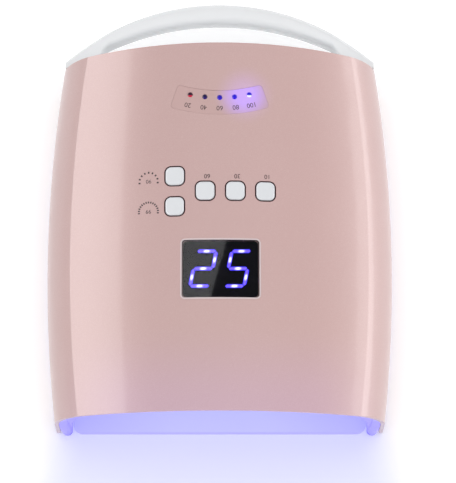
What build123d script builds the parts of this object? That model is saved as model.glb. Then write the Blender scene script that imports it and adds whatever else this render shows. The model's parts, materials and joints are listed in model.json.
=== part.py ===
from build123d import *
import math
import os

# Cordless UV LED nail lamp. Millimetres, +Z up, hand opening towards -Y, handle towards +Y.
# Origin: bottom centre of the whole lamp, between the rubber feet.

# ---- overall sizes -------------------------------------------------------------------------
overall_length = 258.0
overall_width = 210.0
overall_height = 95.0
handle_reach = 37.0
foot_height = 2.5

# ---- casing shell ---------------------------------------------------------------------------
shell_wall = 2.4
crown_angle = 28.0
crease_radius = 5.0
crease_angle = 38.0
shoulder_radius = 40.0
wall_angle = 87.5
barrel_radius = 790.0
widest_y = -30.8
back_plan_radius = 1000.0
front_rim_setback = 3.4
front_corner_setback = 1.7
front_corner_height = 48.0

# ---- clearances -----------------------------------------------------------------------------
fit_gap = 0.25
slide_gap = 0.35
board_gap = 0.4
screw_gap = 0.05

# ---- hand space -----------------------------------------------------------------------------
hood_wall = 2.0
hood_side_space = 15.7
hood_height = 64.0
hood_crown_angle = 14.0
hood_corner_radius = 28.0
hood_front_y = -117.6
hood_back_y = 56.0
rail_height = 6.5
groove_depth = 1.6
groove_height = 2.4
groove_floor = 1.2

# ---- front bezel ----------------------------------------------------------------------------
bezel_plate = 2.4
leg_draft_allowance = 1.2
leg_shoulder_inset = 33.0
leg_lean_height = 25.0
leg_flush_height = 54.0
leg_flush_setback = 2.1

# ---- tray -----------------------------------------------------------------------------------
tray_thickness = 2.8
tray_side_gap = 0.5
tray_front_setback = 0.6
tray_corner_radius = 6.0
tray_lip_height = 1.2
tray_lip_width = 1.6
magnet_size = (10.0, 3.0, 1.9)
magnet_x = 60.0
catch_plate_thickness = 1.0

# ---- handle ---------------------------------------------------------------------------------
handle_outer_radius = 136.0
handle_inner_radius = 157.0
handle_band = 12.0
handle_height = 16.0
handle_z = 48.0
handle_edge = 3.6
handle_side_setback = 0.4
handle_pad_x = 73.0
handle_pad_depth = 5.5
handle_screw_x = 79.0
handle_screw_pitch = 8.0
handle_screw_length = 9.0

# ---- rear cover and battery bay -------------------------------------------------------------
cover_thickness = 2.6
door_thickness = 2.5
vent_count = 9
vent_pitch = 7.0
vent_width = 2.4
vent_length = 12.0
vent_z = 77.0
rear_boss_x = 62.0
rear_boss_z = 74.0
rear_boss_length = 9.0
case_boss_y = (-64.0, -16.0, 34.0)
side_boss_inset = 21.0
side_boss_z = 29.0
boss_radius = 3.2
door_boss_x = 76.0
door_boss_height = 11.0
door_rear_boss_x = 50.0

# ---- display --------------------------------------------------------------------------------
display_x = 0.5
display_y = -43.5
window_length = 44.8
window_width = 33.8
window_corner = 1.9
window_depth = 1.6
window_recess = 0.3
trim_width = 0.9
ledge_width = 1.6
module_margin = 1.6
digit_height = 22.7
digit_width = 13.3
digit_pitch = 20.1
digit_stroke = 2.1
digit_slant = 11.3
digit_thickness = 0.3
digit_offset_y = 0.7
digit_bar_gap = 0.35

# ---- buttons --------------------------------------------------------------------------------
button_pitch = 17.5
button_size = 10.8
button_corner = 3.2
button_gap = 0.75
button_proud = 0.7
button_travel = 0.5
flange_margin = 1.4
flange_thickness = 1.2
stem_radius = 2.0
button_centre_x = 9.1
button_row_y = 2.4
mode_button_x = -26.1
mode_button_pitch = 18.0
mode_button_y = 2.5
plunger_radius = 1.7
plunger_height = 1.0
switch_size = 6.0
switch_body_height = 3.4

# ---- battery level label --------------------------------------------------------------------
label_centre_y = 137.7
label_inner_radius = 75.0
label_outer_radius = 89.5
label_half_angle = 19.0
label_depth = 0.5
label_corner = 2.0
dot_orbit_radius = 79.3
dot_pitch_angle = 6.3
dot_radius = 1.45

# ---- control board --------------------------------------------------------------------------
board_top_z = 80.0
board_thickness = 1.6
board_half_width = 48.0
board_front_y = -68.0
board_back_y = 68.0
board_post_x = 42.0
board_post_y = (-62.0, 36.0)
board_post_radius = 3.2

# ---- lamp boards ----------------------------------------------------------------------------
lamp_board_thickness = 1.2
lamp_size = 5.0
lamp_height = 2.2
lamp_hole_radius = 3.8
lamp_row_pitch = 26.0
lamp_centre_y = -30.0
lamp_column_x = (-24.0, 0.0, 24.0)
shoulder_lamp_angle = 50.0
side_lamp_z = 20.0
lamp_screw_radius = 0.9
sensor_radius = 2.5
sensor_x = 8.0
sensor_y = -109.0

# ---- battery --------------------------------------------------------------------------------
cell_radius = 9.15
cell_length = 65.0
cell_rows = 3
cell_gap = 0.3
holder_wall = 1.8
holder_floor_z = 8.0
socket_half = 3.75
socket_depth = 2.75
protection_socket_x = {"battery": -4.0, "inlet": 22.0, "switch": -22.0}

# ---- rear fittings --------------------------------------------------------------------------
fitting_x = 76.0
fitting_z = 18.0
jack_bore_radius = 3.2
jack_pin_radius = 1.0
jack_barrel_radius = 4.5
rocker_angle = 10.0
rocker_half_length = 4.9
rocker_width = 7.2
rocker_axle_radius = 1.0
rocker_depth = 3.2
switch_rim_half_width = 5.7
switch_rim_half_height = 7.8
wire_end_gap = 0.4

# ---- feet -----------------------------------------------------------------------------------
foot_radius = 6.0
front_foot_inset = 12.4
front_foot_setback = 27.0
rear_foot_x = 64.0
rear_foot_setback = 19.0

# ---- screws ---------------------------------------------------------------------------------
screw_radius = 1.5
screw_head_radius = 2.8
screw_head_height = 1.8

# ---- worked-out places ----------------------------------------------------------------------
hood_half_width = overall_width / 2 - hood_side_space
side_boss_x = overall_width / 2 - side_boss_inset
leg_shoulder_x = overall_width / 2 - leg_shoulder_inset
front_y = -overall_length / 2
handle_y = overall_length / 2
shell_back_y = handle_y - handle_reach
shell_bottom = foot_height
rim_y = front_y + front_rim_setback
corner_y = front_y + front_corner_setback
tray_bottom_z = foot_height + 0.4
tray_top_z = tray_bottom_z + tray_thickness
hood_back_face_y = hood_back_y + hood_wall
board_bottom_z = board_top_z - board_thickness
BASE = (Align.CENTER, Align.CENTER, Align.MIN)
OUTWARD = (Align.CENTER, Align.CENTER, Align.MAX)


def sine(degrees):
    return math.sin(math.radians(degrees))


def cosine(degrees):
    return math.cos(math.radians(degrees))


# ---- small shapes ---------------------------------------------------------------------------
def block(x_range, y_range, z_range):
    """A box between two limits on each axis."""
    ranges = (x_range, y_range, z_range)
    middle = [(low + high) / 2 for low, high in ranges]
    sizes = [high - low for low, high in ranges]
    return Pos(*middle) * Box(*sizes)


def post(x, y, z, radius, height):
    """An upright cylinder standing on z."""
    return Pos(x, y, z) * Cylinder(radius, height, align=BASE)


def rod_along_y(x, y, z, radius, length):
    """A cylinder from y towards +Y."""
    return Pos(x, y, z) * Rot(-90, 0, 0) * Cylinder(radius, length, align=BASE)


def tile(x, y, z, length, width, corner, height):
    """A rounded rectangular prism standing on z."""
    return Pos(x, y, z) * extrude(RectangleRounded(length, width, corner), amount=height)


def group(solids):
    return Compound(list(solids))


# ---- arched sections ------------------------------------------------------------------------
def arch_curve(crown_half, height, first_angle, arcs, inset):
    """Right half of an arched section, as (start, middle, end, radius centre) of each round stretch.

    The crown arc runs to first_angle from the vertical. Each further arc is (radius, end angle)
    and starts tangent to the one before it. Angles are measured from straight up.
    """
    radius = crown_half / sine(first_angle)
    centre = (0.0, height - radius)
    stretches = [(centre, radius - inset, 0.0, first_angle)]
    angle = first_angle
    for next_radius, end_angle in arcs:
        shift = radius - next_radius
        centre = (centre[0] + shift * sine(angle), centre[1] + shift * cosine(angle))
        stretches.append((centre, next_radius - inset, angle, end_angle))
        radius = next_radius
        angle = end_angle
    return stretches


def arch_wire(y, stretches, bottom):
    """Closed outline in the XZ plane at y: the arch, its mirror image, drafted walls and a flat base."""

    def place(stretch, angle, side):
        centre, radius = stretch[0], stretch[1]
        return Vector(side * (centre[0] + radius * sine(angle)), y, centre[1] + radius * cosine(angle))

    last = stretches[-1]
    wall_end = last[3]
    foot_x = {}
    edges = []
    for side in (1, -1):
        top = place(last, wall_end, side)
        foot_x[side] = top.X + side * (top.Z - bottom) * cosine(wall_end) / sine(wall_end)
        edges.append(Edge.make_line(top, Vector(foot_x[side], y, bottom)))
        for stretch in stretches[1:]:
            middle = (stretch[2] + stretch[3]) / 2
            points = [place(stretch, angle, side) for angle in (stretch[2], middle, stretch[3])]
            edges.append(Edge.make_three_point_arc(*points))
    crown = stretches[0]
    crown_points = [place(crown, angle, side) for angle, side in ((crown[3], -1), (0.0, 1), (crown[3], 1))]
    edges.append(Edge.make_three_point_arc(*crown_points))
    edges.append(Edge.make_line(Vector(foot_x[1], y, bottom), Vector(foot_x[-1], y, bottom)))
    return Wire(edges)


def shell_crown_half(y):
    """Half width of the shell's crown arc, which narrows towards both ends like a barrel."""
    side = crease_radius * (sine(crease_angle) - sine(crown_angle))
    side += shoulder_radius * (sine(wall_angle) - sine(crease_angle))
    drop = crease_radius * (cosine(crown_angle) - cosine(crease_angle))
    drop += shoulder_radius * (cosine(crease_angle) - cosine(wall_angle))
    draft = cosine(wall_angle) / sine(wall_angle)
    sagitta_ratio = math.tan(math.radians(crown_angle / 2))
    wall_run = (overall_height - drop - shell_bottom) * draft
    widest = (overall_width / 2 - side - wall_run) / (1 - sagitta_ratio * draft)
    return widest - (y - widest_y) ** 2 / (2 * barrel_radius)


def shell_wire(y, inset, bottom):
    arcs = ((crease_radius, crease_angle), (shoulder_radius, wall_angle))
    stretches = arch_curve(shell_crown_half(y), overall_height, crown_angle, arcs, inset)
    return arch_wire(y, stretches, bottom)


def shell_layer(inset, bottom=shell_bottom - 1):
    """Everything inside the casing's outer surface moved inwards by inset."""
    start = front_y - 6
    length = shell_back_y + 6 - start
    return Solid.make_loft([shell_wire(start + length * step / 4, inset, bottom) for step in range(5)])


def crown_z(x, y, inset):
    """Height of the casing's crown at a point, moved inwards by inset."""
    radius = shell_crown_half(y) / sine(crown_angle)
    return overall_height - radius + math.sqrt((radius - inset) ** 2 - x * x)


def wall_x(y, inset):
    """Half width of the casing where its side wall starts, moved inwards by inset."""
    side = crease_radius * (sine(crease_angle) - sine(crown_angle))
    side += shoulder_radius * (sine(wall_angle) - sine(crease_angle))
    return shell_crown_half(y) + side - inset


def back_face_y(x):
    """The casing's back edge is a shallow arc in plan."""
    return shell_back_y - back_plan_radius + math.sqrt(back_plan_radius ** 2 - x * x)


def before_back(offset):
    """Everything in front of the casing's curved back face moved forwards by offset."""
    return post(0, shell_back_y - offset - back_plan_radius, -20, back_plan_radius, 140)


def behind_front_edge():
    """Everything behind the casing's front edge, which leans forwards as it goes down."""
    outline = [(rim_y, 120), (rim_y, overall_height), (corner_y, front_corner_height), (corner_y, -20)]
    outline += [(handle_y, -20), (handle_y, 120)]
    profile = Face(Wire.make_polygon([Vector(-150, y, z) for y, z in outline]))
    return extrude(profile, amount=300, dir=(1, 0, 0))


def hood_stretches(inset):
    side = hood_corner_radius * (sine(wall_angle) - sine(hood_crown_angle))
    drop = hood_corner_radius * (cosine(hood_crown_angle) - cosine(wall_angle))
    draft = cosine(wall_angle) / sine(wall_angle)
    sagitta_ratio = math.tan(math.radians(hood_crown_angle / 2))
    wall_run = (hood_height - drop - tray_top_z) * draft
    crown_half = (hood_half_width - side - wall_run) / (1 - sagitta_ratio * draft)
    arcs = ((hood_corner_radius, wall_angle),)
    return arch_curve(crown_half, hood_height, hood_crown_angle, arcs, inset)


def hood_layer(inset, y_start, y_end, bottom):
    """The hand space's arched prism, moved inwards by inset."""
    profile = Face(arch_wire(y_start, hood_stretches(inset), bottom))
    return extrude(profile, amount=y_end - y_start, dir=(0, 1, 0))


def hood_side_x(z):
    """Half width of the hand space on its straight wall at height z."""
    centre, radius, _, end = hood_stretches(0.0)[-1]
    top_x = centre[0] + radius * sine(end)
    top_z = centre[1] + radius * cosine(end)
    return top_x + (top_z - z) * cosine(end) / sine(end)


def in_crown(prism, proud, depth):
    """The slice of a prism between two depths under the casing's crown."""
    return (prism & shell_layer(proud)) - shell_layer(depth)


# ---- lamp places ----------------------------------------------------------------------------
def lamp_rows(count):
    first = lamp_centre_y - lamp_row_pitch * (count - 1) / 2
    return [first + lamp_row_pitch * index for index in range(count)]


def roof_plane(x, y):
    """Inner face of the roof lamp board, looking down into the hand space."""
    return Plane(origin=(x, y, hood_height + hood_wall + board_gap), x_dir=(0, 1, 0), z_dir=(0, 0, -1))


def shoulder_plane(side, y):
    """Inner face of a tilted lamp board over the hood's round shoulder."""
    centre, radius, _, _ = hood_stretches(0.0)[1]
    reach = radius + hood_wall + board_gap
    x = centre[0] + reach * sine(shoulder_lamp_angle)
    z = centre[1] + reach * cosine(shoulder_lamp_angle)
    inward = (-side * sine(shoulder_lamp_angle), 0, -cosine(shoulder_lamp_angle))
    return Plane(origin=(side * x, y, z), x_dir=(0, 1, 0), z_dir=inward)


def side_plane(side, y):
    """Inner face of a lamp strip along the hood's side wall."""
    reach = (hood_wall + board_gap) / sine(wall_angle)
    x = hood_side_x(side_lamp_z) + reach
    inward = (-side * sine(wall_angle), 0, -cosine(wall_angle))
    return Plane(origin=(side * x, y, side_lamp_z), x_dir=(0, 1, 0), z_dir=inward)


def lamp_planes():
    planes = [roof_plane(x, y) for x in lamp_column_x for y in lamp_rows(6)]
    for side in (-1, 1):
        planes += [shoulder_plane(side, y) for y in lamp_rows(6)]
        planes += [side_plane(side, y) for y in lamp_rows(6)[::2]]
    return planes


def lamp_board(plane, width, rows):
    length = lamp_row_pitch * (rows - 1) + 16
    board = plane * Box(length, width, lamp_board_thickness, align=OUTWARD)
    for screw_plane in lamp_screw_planes():
        board -= screw_plane * Cylinder(lamp_screw_radius + 0.2, 2 * lamp_board_thickness + 0.5)
    return board


def lamp_screw_planes():
    """Where small screws hold both ends of the roof and shoulder boards."""
    end = lamp_row_pitch * 2.5 + 5
    planes = []
    for y in (lamp_centre_y - end, lamp_centre_y + end):
        planes += [roof_plane(0, y), shoulder_plane(-1, y), shoulder_plane(1, y)]
    return planes


# ---- casing pieces --------------------------------------------------------------------------
def case_boss_places():
    """Upright screw bosses along both side walls."""
    ys = case_boss_y
    return [(side * (wall_x(y, shell_wall) - boss_radius + 0.6), y) for side in (-1, 1) for y in ys]


def rear_boss_places():
    places = [(side * rear_boss_x, rear_boss_z) for side in (-1, 1)]
    return places + [(side * side_boss_x, side_boss_z) for side in (-1, 1)]


def rear_boss_front_y(x):
    return back_face_y(x) - cover_thickness - fit_gap - rear_boss_length


def button_places():
    places = {}
    places["60s"] = (button_centre_x - button_pitch, button_row_y)
    places["30s"] = (button_centre_x, button_row_y)
    places["10s"] = (button_centre_x + button_pitch, button_row_y)
    places["90s"] = (mode_button_x, mode_button_y + mode_button_pitch / 2)
    places["99s"] = (mode_button_x, mode_button_y - mode_button_pitch / 2)
    return places


def label_prism(clearance):
    """Upright prism over the battery label: a sector of a ring, centred behind the lamp."""
    outer = Circle(label_outer_radius - clearance) - Circle(label_inner_radius + clearance)
    shrink = math.degrees(clearance / label_inner_radius)
    half = label_half_angle - shrink
    far = label_outer_radius * 1.2
    corners = [(0, 0), (-far * sine(half), -far * cosine(half)), (far * sine(half), -far * cosine(half))]
    wedge = make_face(Polyline(*corners, close=True))
    prism = extrude(outer & wedge, amount=50)
    prism = fillet(prism.edges().filter_by(Axis.Z), label_corner - clearance)
    return Pos(0, label_centre_y, 60) * prism


def dot_places():
    places = []
    for index in range(-2, 3):
        angle = dot_pitch_angle * index
        x = dot_orbit_radius * sine(angle)
        places.append((x, label_centre_y - dot_orbit_radius * cosine(angle)))
    return places


def make_top_shell():
    outer = shell_layer(0.0, shell_bottom)
    shell = (outer - shell_layer(shell_wall)) & behind_front_edge() & before_back(0)
    boss_top = 46.0
    rail_top = shell_bottom + rail_height
    for x, y in case_boss_places():
        side = 1 if x > 0 else -1
        boss = post(x, y, rail_top, boss_radius, boss_top - rail_top)
        rib = block(sorted((x, x + side * 8)), (y - 1, y + 1), (rail_top, boss_top))
        shell += (boss + rib) & outer
    for x, z in rear_boss_places():
        y = rear_boss_front_y(x)
        if z == rear_boss_z:
            boss = block((x - 4, x + 4), (y, y + 12), (z - 4, 90))
        else:
            boss = block(sorted((x - math.copysign(4, x), x * 1.3)), (y, y + 12), (z - 4, z + 4))
        shell += boss & outer & before_back(cover_thickness + fit_gap)
    for x in (-board_post_x, board_post_x):
        for y in board_post_y:
            shell += post(x, y, board_top_z, board_post_radius, 12) & outer
    opening = (window_length + 2 * trim_width, window_width + 2 * trim_width)
    window_cut = tile(display_x, display_y, 60, *opening, window_corner + trim_width, 50)
    shell -= window_cut - shell_layer(window_depth)
    through = (opening[0] - 2 * ledge_width, opening[1] - 2 * ledge_width)
    shell -= tile(display_x, display_y, 60, *through, window_corner, 50)
    for x, y in button_places().values():
        size = button_size + 2 * button_gap
        shell -= tile(x, y, 60, size, size, button_corner + button_gap, 50)
    shell -= label_prism(0) - shell_layer(label_depth)
    for x, y in dot_places():
        shell -= post(x, y, 60, dot_radius + 0.1, 50)
    for x, y in case_boss_places():
        shell -= post(x, y, rail_top - 1, screw_radius + screw_gap, 12)
    for x, z in rear_boss_places():
        shell -= rod_along_y(x, rear_boss_front_y(x) - 1, z, screw_radius + screw_gap, 20)
    for x in (-board_post_x, board_post_x):
        for y in board_post_y:
            shell -= post(x, y, board_top_z - 1, 1.0 + screw_gap, 7)
    return shell


def leg_outline():
    """Plan of the bezel's front: a shallow recess over the opening and two round-nosed legs."""
    inner = hood_side_x(tray_top_z)
    outer = wall_x(front_y, shell_wall + fit_gap) + leg_draft_allowance
    nose_radius = (outer - inner) / 2
    nose_y = front_y + nose_radius
    recess_y = hood_front_y - bezel_plate
    points = [(0, 0), (0, recess_y), (leg_shoulder_x, recess_y), (inner, nose_y)]
    points += [(outer + nose_radius, nose_y), (outer + nose_radius, 0)]
    plan = make_face(Polyline(*points, close=True))
    return plan + Pos(inner + nose_radius, nose_y) * Circle(nose_radius)


def make_front_bezel():
    half = Pos(0, 0, -20) * extrude(leg_outline(), amount=140)
    front = half + mirror(half, about=Plane.YZ)
    lean = [(front_y, -20), (front_y, leg_lean_height), (front_y + leg_flush_setback, leg_flush_height)]
    lean += [(front_y + leg_flush_setback + 1.4, 120), (hood_front_y, 120), (hood_front_y, -20)]
    profile = Face(Wire.make_polygon([Vector(-150, y, z) for y, z in lean]))
    side = extrude(profile, amount=300, dir=(1, 0, 0))
    bezel = shell_layer(shell_wall + fit_gap, shell_bottom) & front & side
    bezel -= hood_layer(0.0, front_y - 5, hood_front_y + 5, 0)
    return bezel - tray_groove(front_y - 5, hood_front_y + 1)


def tray_groove(y_start, y_end):
    """The slot that the tray's side tongues run in."""
    reach = hood_side_x(tray_bottom_z) + groove_depth
    floor = tray_bottom_z + groove_floor - slide_gap
    return block((-reach, reach), (y_start, y_end), (floor, floor + groove_height))


def make_reflector_hood():
    outer = hood_layer(-hood_wall, hood_front_y, hood_back_face_y, shell_bottom)
    hood = outer - hood_layer(0.0, hood_front_y - 1, hood_back_y, shell_bottom - 1)
    slot_half = hood_side_x(0)
    hood -= block((-slot_half, slot_half), (hood_back_y - 1, hood_back_y + 0.01), (0, tray_top_z + slide_gap))
    rails = block((-150, 150), (hood_front_y, hood_back_face_y), (shell_bottom, shell_bottom + rail_height))
    rails = (rails & shell_layer(shell_wall + fit_gap, shell_bottom - 1)) - hood_layer(-0.5, -200, 100, 0)
    hood += rails
    hood -= tray_groove(hood_front_y - 1, hood_back_y)
    for x in (-door_boss_x, door_boss_x):
        low = shell_bottom + door_thickness + fit_gap
        y_range = (hood_back_face_y - 0.5, hood_back_face_y + 8)
        hood += block((x - 4, x + 4), y_range, (low, low + door_boss_height))
        hood -= post(x, hood_back_face_y + 4, low - 1, screw_radius + screw_gap, door_boss_height)
    for plane in lamp_planes():
        hood -= plane * Pos(0, 0, hood_wall + board_gap) * Cylinder(lamp_hole_radius, 2 * hood_wall + 3)
    for plane in lamp_screw_planes():
        hood -= plane * Cylinder(lamp_screw_radius + screw_gap, 5)
    for x in (-sensor_x, sensor_x):
        hood -= post(x, sensor_y, hood_height - 8, sensor_radius + 0.1, 20)
    for x, y in case_boss_places():
        hood -= post(x, y, 0, screw_radius + 0.2, 20)
        hood -= post(x, y, 0, screw_head_radius + 0.2, shell_bottom + screw_head_height + 0.6)
    for x in (-magnet_x, magnet_x):
        hood -= catch_pocket(x, 0.0)
    return hood


def catch_pocket(x, clearance):
    """Room in the back wall of the hand space for one steel plate."""
    half = magnet_size[0] / 2 + 1 - clearance
    z_range = (tray_bottom_z + clearance, tray_top_z + 2 - clearance)
    return block((x - half, x + half), (hood_back_y - 1, hood_back_y + catch_plate_thickness), z_range)


def make_catch_plates():
    face = block((-200, 200), (hood_back_y + 0.1, 200), (0, 50))
    return group(catch_pocket(x, 0.05) & face for x in (-magnet_x, magnet_x))


def make_base_tray():
    half = hood_side_x(tray_bottom_z) - tray_side_gap
    front = front_y + tray_front_setback
    back = hood_back_y - tray_side_gap
    outline = Pos(0, (front + back) / 2) * RectangleRounded(2 * half, back - front, tray_corner_radius)
    tray = Pos(0, 0, tray_bottom_z) * extrude(outline, amount=tray_thickness)
    tongue_reach = half + tray_side_gap + groove_depth - slide_gap
    tongue_z = (tray_bottom_z + groove_floor, tray_bottom_z + groove_floor + groove_height - 2 * slide_gap)
    tongue_y = (hood_front_y + 4, back - tray_corner_radius)
    tray += block((-tongue_reach, tongue_reach), tongue_y, tongue_z)
    lip_front = front + tray_corner_radius + 4
    for side in (-1, 1):
        lip_x = sorted((side * (half - tray_lip_width - 0.4), side * (half - 0.4)))
        lip_z = (tray_top_z - 0.5, tray_top_z + tray_lip_height)
        tray += block(lip_x, (lip_front, back - tray_corner_radius), lip_z)
    for x in (-magnet_x, magnet_x):
        tray -= magnet_block(x, 0.05)
    return tray


def magnet_block(x, clearance):
    length, width, height = magnet_size
    back = hood_back_y - tray_side_gap
    y_range = (back - 1 - width - clearance, back - 1 + clearance)
    z_range = (tray_bottom_z + 0.45 - clearance, tray_bottom_z + 0.45 + height + clearance)
    return block((x - length / 2 - clearance, x + length / 2 + clearance), y_range, z_range)


def make_tray_magnets():
    return group(magnet_block(x, 0) for x in (-magnet_x, magnet_x))


def handle_hollow():
    """Disc taken out of the grip; its rim flares at top and bottom, which rounds the inner edges."""
    top = handle_height / 2
    bend = top - handle_edge
    rim = handle_inner_radius + handle_edge
    lower = Polyline((0, -top - 1), (rim, -top - 1), (rim, -top))
    lower_flare = CenterArc((rim, -bend), handle_edge, 180, 90)
    face = Line((handle_inner_radius, -bend), (handle_inner_radius, bend))
    upper_flare = CenterArc((rim, bend), handle_edge, 90, 90)
    upper = Polyline((rim, top), (rim, top + 1), (0, top + 1), (0, -top - 1))
    lines = (lower, lower_flare, face, upper_flare, upper)
    section = make_face(Wire([edge for line in lines for edge in line.edges()]))
    return revolve(Plane.XZ * section, Axis.Z)


def handle_disc():
    """Round-edged disc whose rim is the outer face of the grip."""
    disc = Cylinder(handle_outer_radius, handle_height)
    disc = fillet(disc.edges().filter_by(GeomType.CIRCLE), handle_edge)
    return Pos(0, handle_y - handle_outer_radius, handle_z) * disc


def make_handle():
    """Crescent grip whose two arcs have different centres, with a pad at each root for its screws."""
    tall = handle_height + 2
    disc = handle_disc()
    hollow = Pos(0, handle_y - handle_band - handle_inner_radius, handle_z) * handle_hollow()
    side_x = wall_x(shell_back_y, handle_side_setback)
    pad_y = back_face_y(side_x) + handle_pad_depth
    roots = Box(2 * side_x, 2 * handle_pad_depth, handle_height)
    roots -= Box(2 * handle_pad_x, 3 * handle_pad_depth, tall)
    roots = Pos(0, pad_y - handle_pad_depth, handle_z) * roots
    reach = Pos(0, handle_y - handle_reach, handle_z) * Box(2 * side_x, 3 * handle_reach, tall)
    casing = Pos(0, shell_back_y - back_plan_radius, handle_z) * Cylinder(back_plan_radius, tall)
    grip = ((disc - hollow) + (roots & disc)) & reach
    grip -= casing
    for x, z in handle_screw_places():
        grip -= rod_along_y(x, back_face_y(x) - 1, z, screw_radius + screw_gap, handle_screw_length)
    return grip


def handle_screw_places():
    rows = (handle_z - handle_screw_pitch / 2, handle_z + handle_screw_pitch / 2)
    return [(side * handle_screw_x, z) for side in (-1, 1) for z in rows]


def make_rear_cover():
    cover = shell_layer(shell_wall + fit_gap, shell_bottom) & before_back(0)
    cover -= before_back(cover_thickness)
    low = shell_bottom + door_thickness + fit_gap
    for side in (-1, 1):
        x = side * door_rear_boss_x
        y = back_face_y(x) - cover_thickness
        cover += block((x - 4, x + 4), (y - 7.5, y + 1), (low, low + door_boss_height))
        cover -= post(x, y - 3.5, low - 1, screw_radius + screw_gap, door_boss_height)
    cut_y = back_face_y(overall_width / 2) - cover_thickness - 10
    cut_length = shell_back_y + 1 - cut_y
    for index in range(vent_count):
        x = vent_pitch * (index - (vent_count - 1) / 2)
        vent_z_range = (vent_z - vent_length / 2, vent_z + vent_length / 2)
        cover -= block((x - vent_width / 2, x + vent_width / 2), (cut_y, shell_back_y + 1), vent_z_range)
    for x, z in rear_boss_places() + handle_screw_places():
        cover -= rod_along_y(x, cut_y, z, screw_radius + 0.2, cut_length)
    cover -= rod_along_y(fitting_x, cut_y, fitting_z, jack_barrel_radius + 0.1, cut_length)
    rocker_x = (-fitting_x - 4.7, -fitting_x + 4.7)
    cover -= block(rocker_x, (cut_y, shell_back_y + 1), (fitting_z - 6.8, fitting_z + 6.8))
    return cover


def door_outline(clearance):
    low_y = hood_back_face_y + clearance
    door = block((-150, 150), (low_y, 150), (shell_bottom, shell_bottom + door_thickness))
    return door & shell_layer(shell_wall + fit_gap, shell_bottom) & before_back(cover_thickness + clearance)


def door_screw_places():
    places = [(side * door_boss_x, hood_back_face_y + 4) for side in (-1, 1)]
    rear_y = back_face_y(door_rear_boss_x) - cover_thickness - 3.5
    return places + [(side * door_rear_boss_x, rear_y) for side in (-1, 1)]


def make_battery_door():
    door = door_outline(fit_gap)
    for x, y in door_screw_places():
        door -= post(x, y, 0, screw_radius + 0.2, 20)
        door -= post(x, y, shell_bottom - 1, screw_head_radius + 0.2, 1.6)
    return door


def make_rubber_feet():
    front_x = overall_width / 2 - front_foot_inset
    front = [tile(side * front_x, front_y + front_foot_setback, 0, 4.6, 14, 2.2, foot_height) for side in (-1, 1)]
    rear_y = shell_back_y - rear_foot_setback
    rear = [post(side * rear_foot_x, rear_y, 0, foot_radius, foot_height) for side in (-1, 1)]
    return group(front + rear)


# ---- screws ---------------------------------------------------------------------------------
def upright_screw(x, y, head_z, length, radius=screw_radius, head=screw_head_radius):
    """A pan-head screw driven upwards; head_z is the underside of the head's bearing face."""
    shank = post(x, y, head_z - 0.2, radius, length)
    return shank + post(x, y, head_z - screw_head_height, head, screw_head_height)


def cross_screw(x, y, z, length):
    """A pan-head screw driven towards -Y, its head's bearing face at y."""
    shank = rod_along_y(x, y - length, z, screw_radius, length + 0.2)
    return shank + rod_along_y(x, y, z, screw_head_radius, screw_head_height)


def make_case_screws():
    head_z = shell_bottom + screw_head_height + 0.6
    return group(upright_screw(x, y, head_z, 14) for x, y in case_boss_places())


def make_door_screws():
    return group(upright_screw(x, y, shell_bottom + 0.6, 10) for x, y in door_screw_places())


def make_rear_screws():
    screws = []
    for x, z in rear_boss_places():
        screws.append(cross_screw(x, back_face_y(abs(x) - screw_head_radius) + 0.05, z, rear_boss_length))
    return group(screws)


def make_handle_screws():
    screws = []
    for x, z in handle_screw_places():
        y = back_face_y(x) - cover_thickness - 0.3
        shank = rod_along_y(x, y - 0.2, z, screw_radius, handle_screw_length)
        screws.append(shank + rod_along_y(x, y - screw_head_height, z, screw_head_radius, screw_head_height))
    return group(screws)


def make_board_screws():
    places = [(x, y) for x in (-board_post_x, board_post_x) for y in board_post_y]
    return group(upright_screw(x, y, board_bottom_z, 6, 1.0, 1.9) for x, y in places)


def make_led_board_screws():
    screws = []
    for plane in lamp_screw_planes():
        shank = Pos(0, 0, -lamp_board_thickness - 0.2) * Cylinder(lamp_screw_radius, 2.8, align=BASE)
        head = Pos(0, 0, -lamp_board_thickness) * Cylinder(1.7, 1.0, align=OUTWARD)
        screws.append(plane * (shank + head))
    return group(screws)


# ---- display, buttons and battery label -----------------------------------------------------
def make_display_window():
    gap = 0.05
    size = (window_length - 2 * gap, window_width - 2 * gap)
    return in_crown(tile(display_x, display_y, 60, *size, window_corner, 50), window_recess, window_depth)


def make_window_trim():
    outer = (window_length + 2 * trim_width - 0.1, window_width + 2 * trim_width - 0.1)
    ring = tile(display_x, display_y, 60, *outer, window_corner + trim_width, 50)
    ring -= tile(display_x, display_y, 50, window_length, window_width, window_corner, 70)
    return in_crown(ring, -0.1, window_depth)


def module_top_z():
    reach = max(abs(display_x - window_length / 2), abs(display_x + window_length / 2))
    return crown_z(reach, display_y, shell_wall) - 0.3


def make_display_module():
    size = (window_length - 2 * module_margin, window_width - 2 * module_margin)
    top = module_top_z() - digit_thickness - 0.1
    return tile(display_x, display_y, board_top_z, *size, 1.0, top - board_top_z)


def digit_segments(digit):
    """Lit bars of one seven-segment figure, as centre, half length and direction, before slanting."""
    half_w = (digit_width - digit_stroke) / 2
    half_h = (digit_height - digit_stroke) / 4
    bars = {
        "a": (0, 2 * half_h, "x"), "b": (half_w, half_h, "y"), "c": (half_w, -half_h, "y"),
        "d": (0, -2 * half_h, "x"), "e": (-half_w, -half_h, "y"), "f": (-half_w, half_h, "y"),
        "g": (0, 0, "x"),
    }
    lit = {"2": "abged", "5": "afgcd"}[digit]
    return [(bars[name], half_w if bars[name][2] == "x" else half_h) for name in lit]


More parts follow.
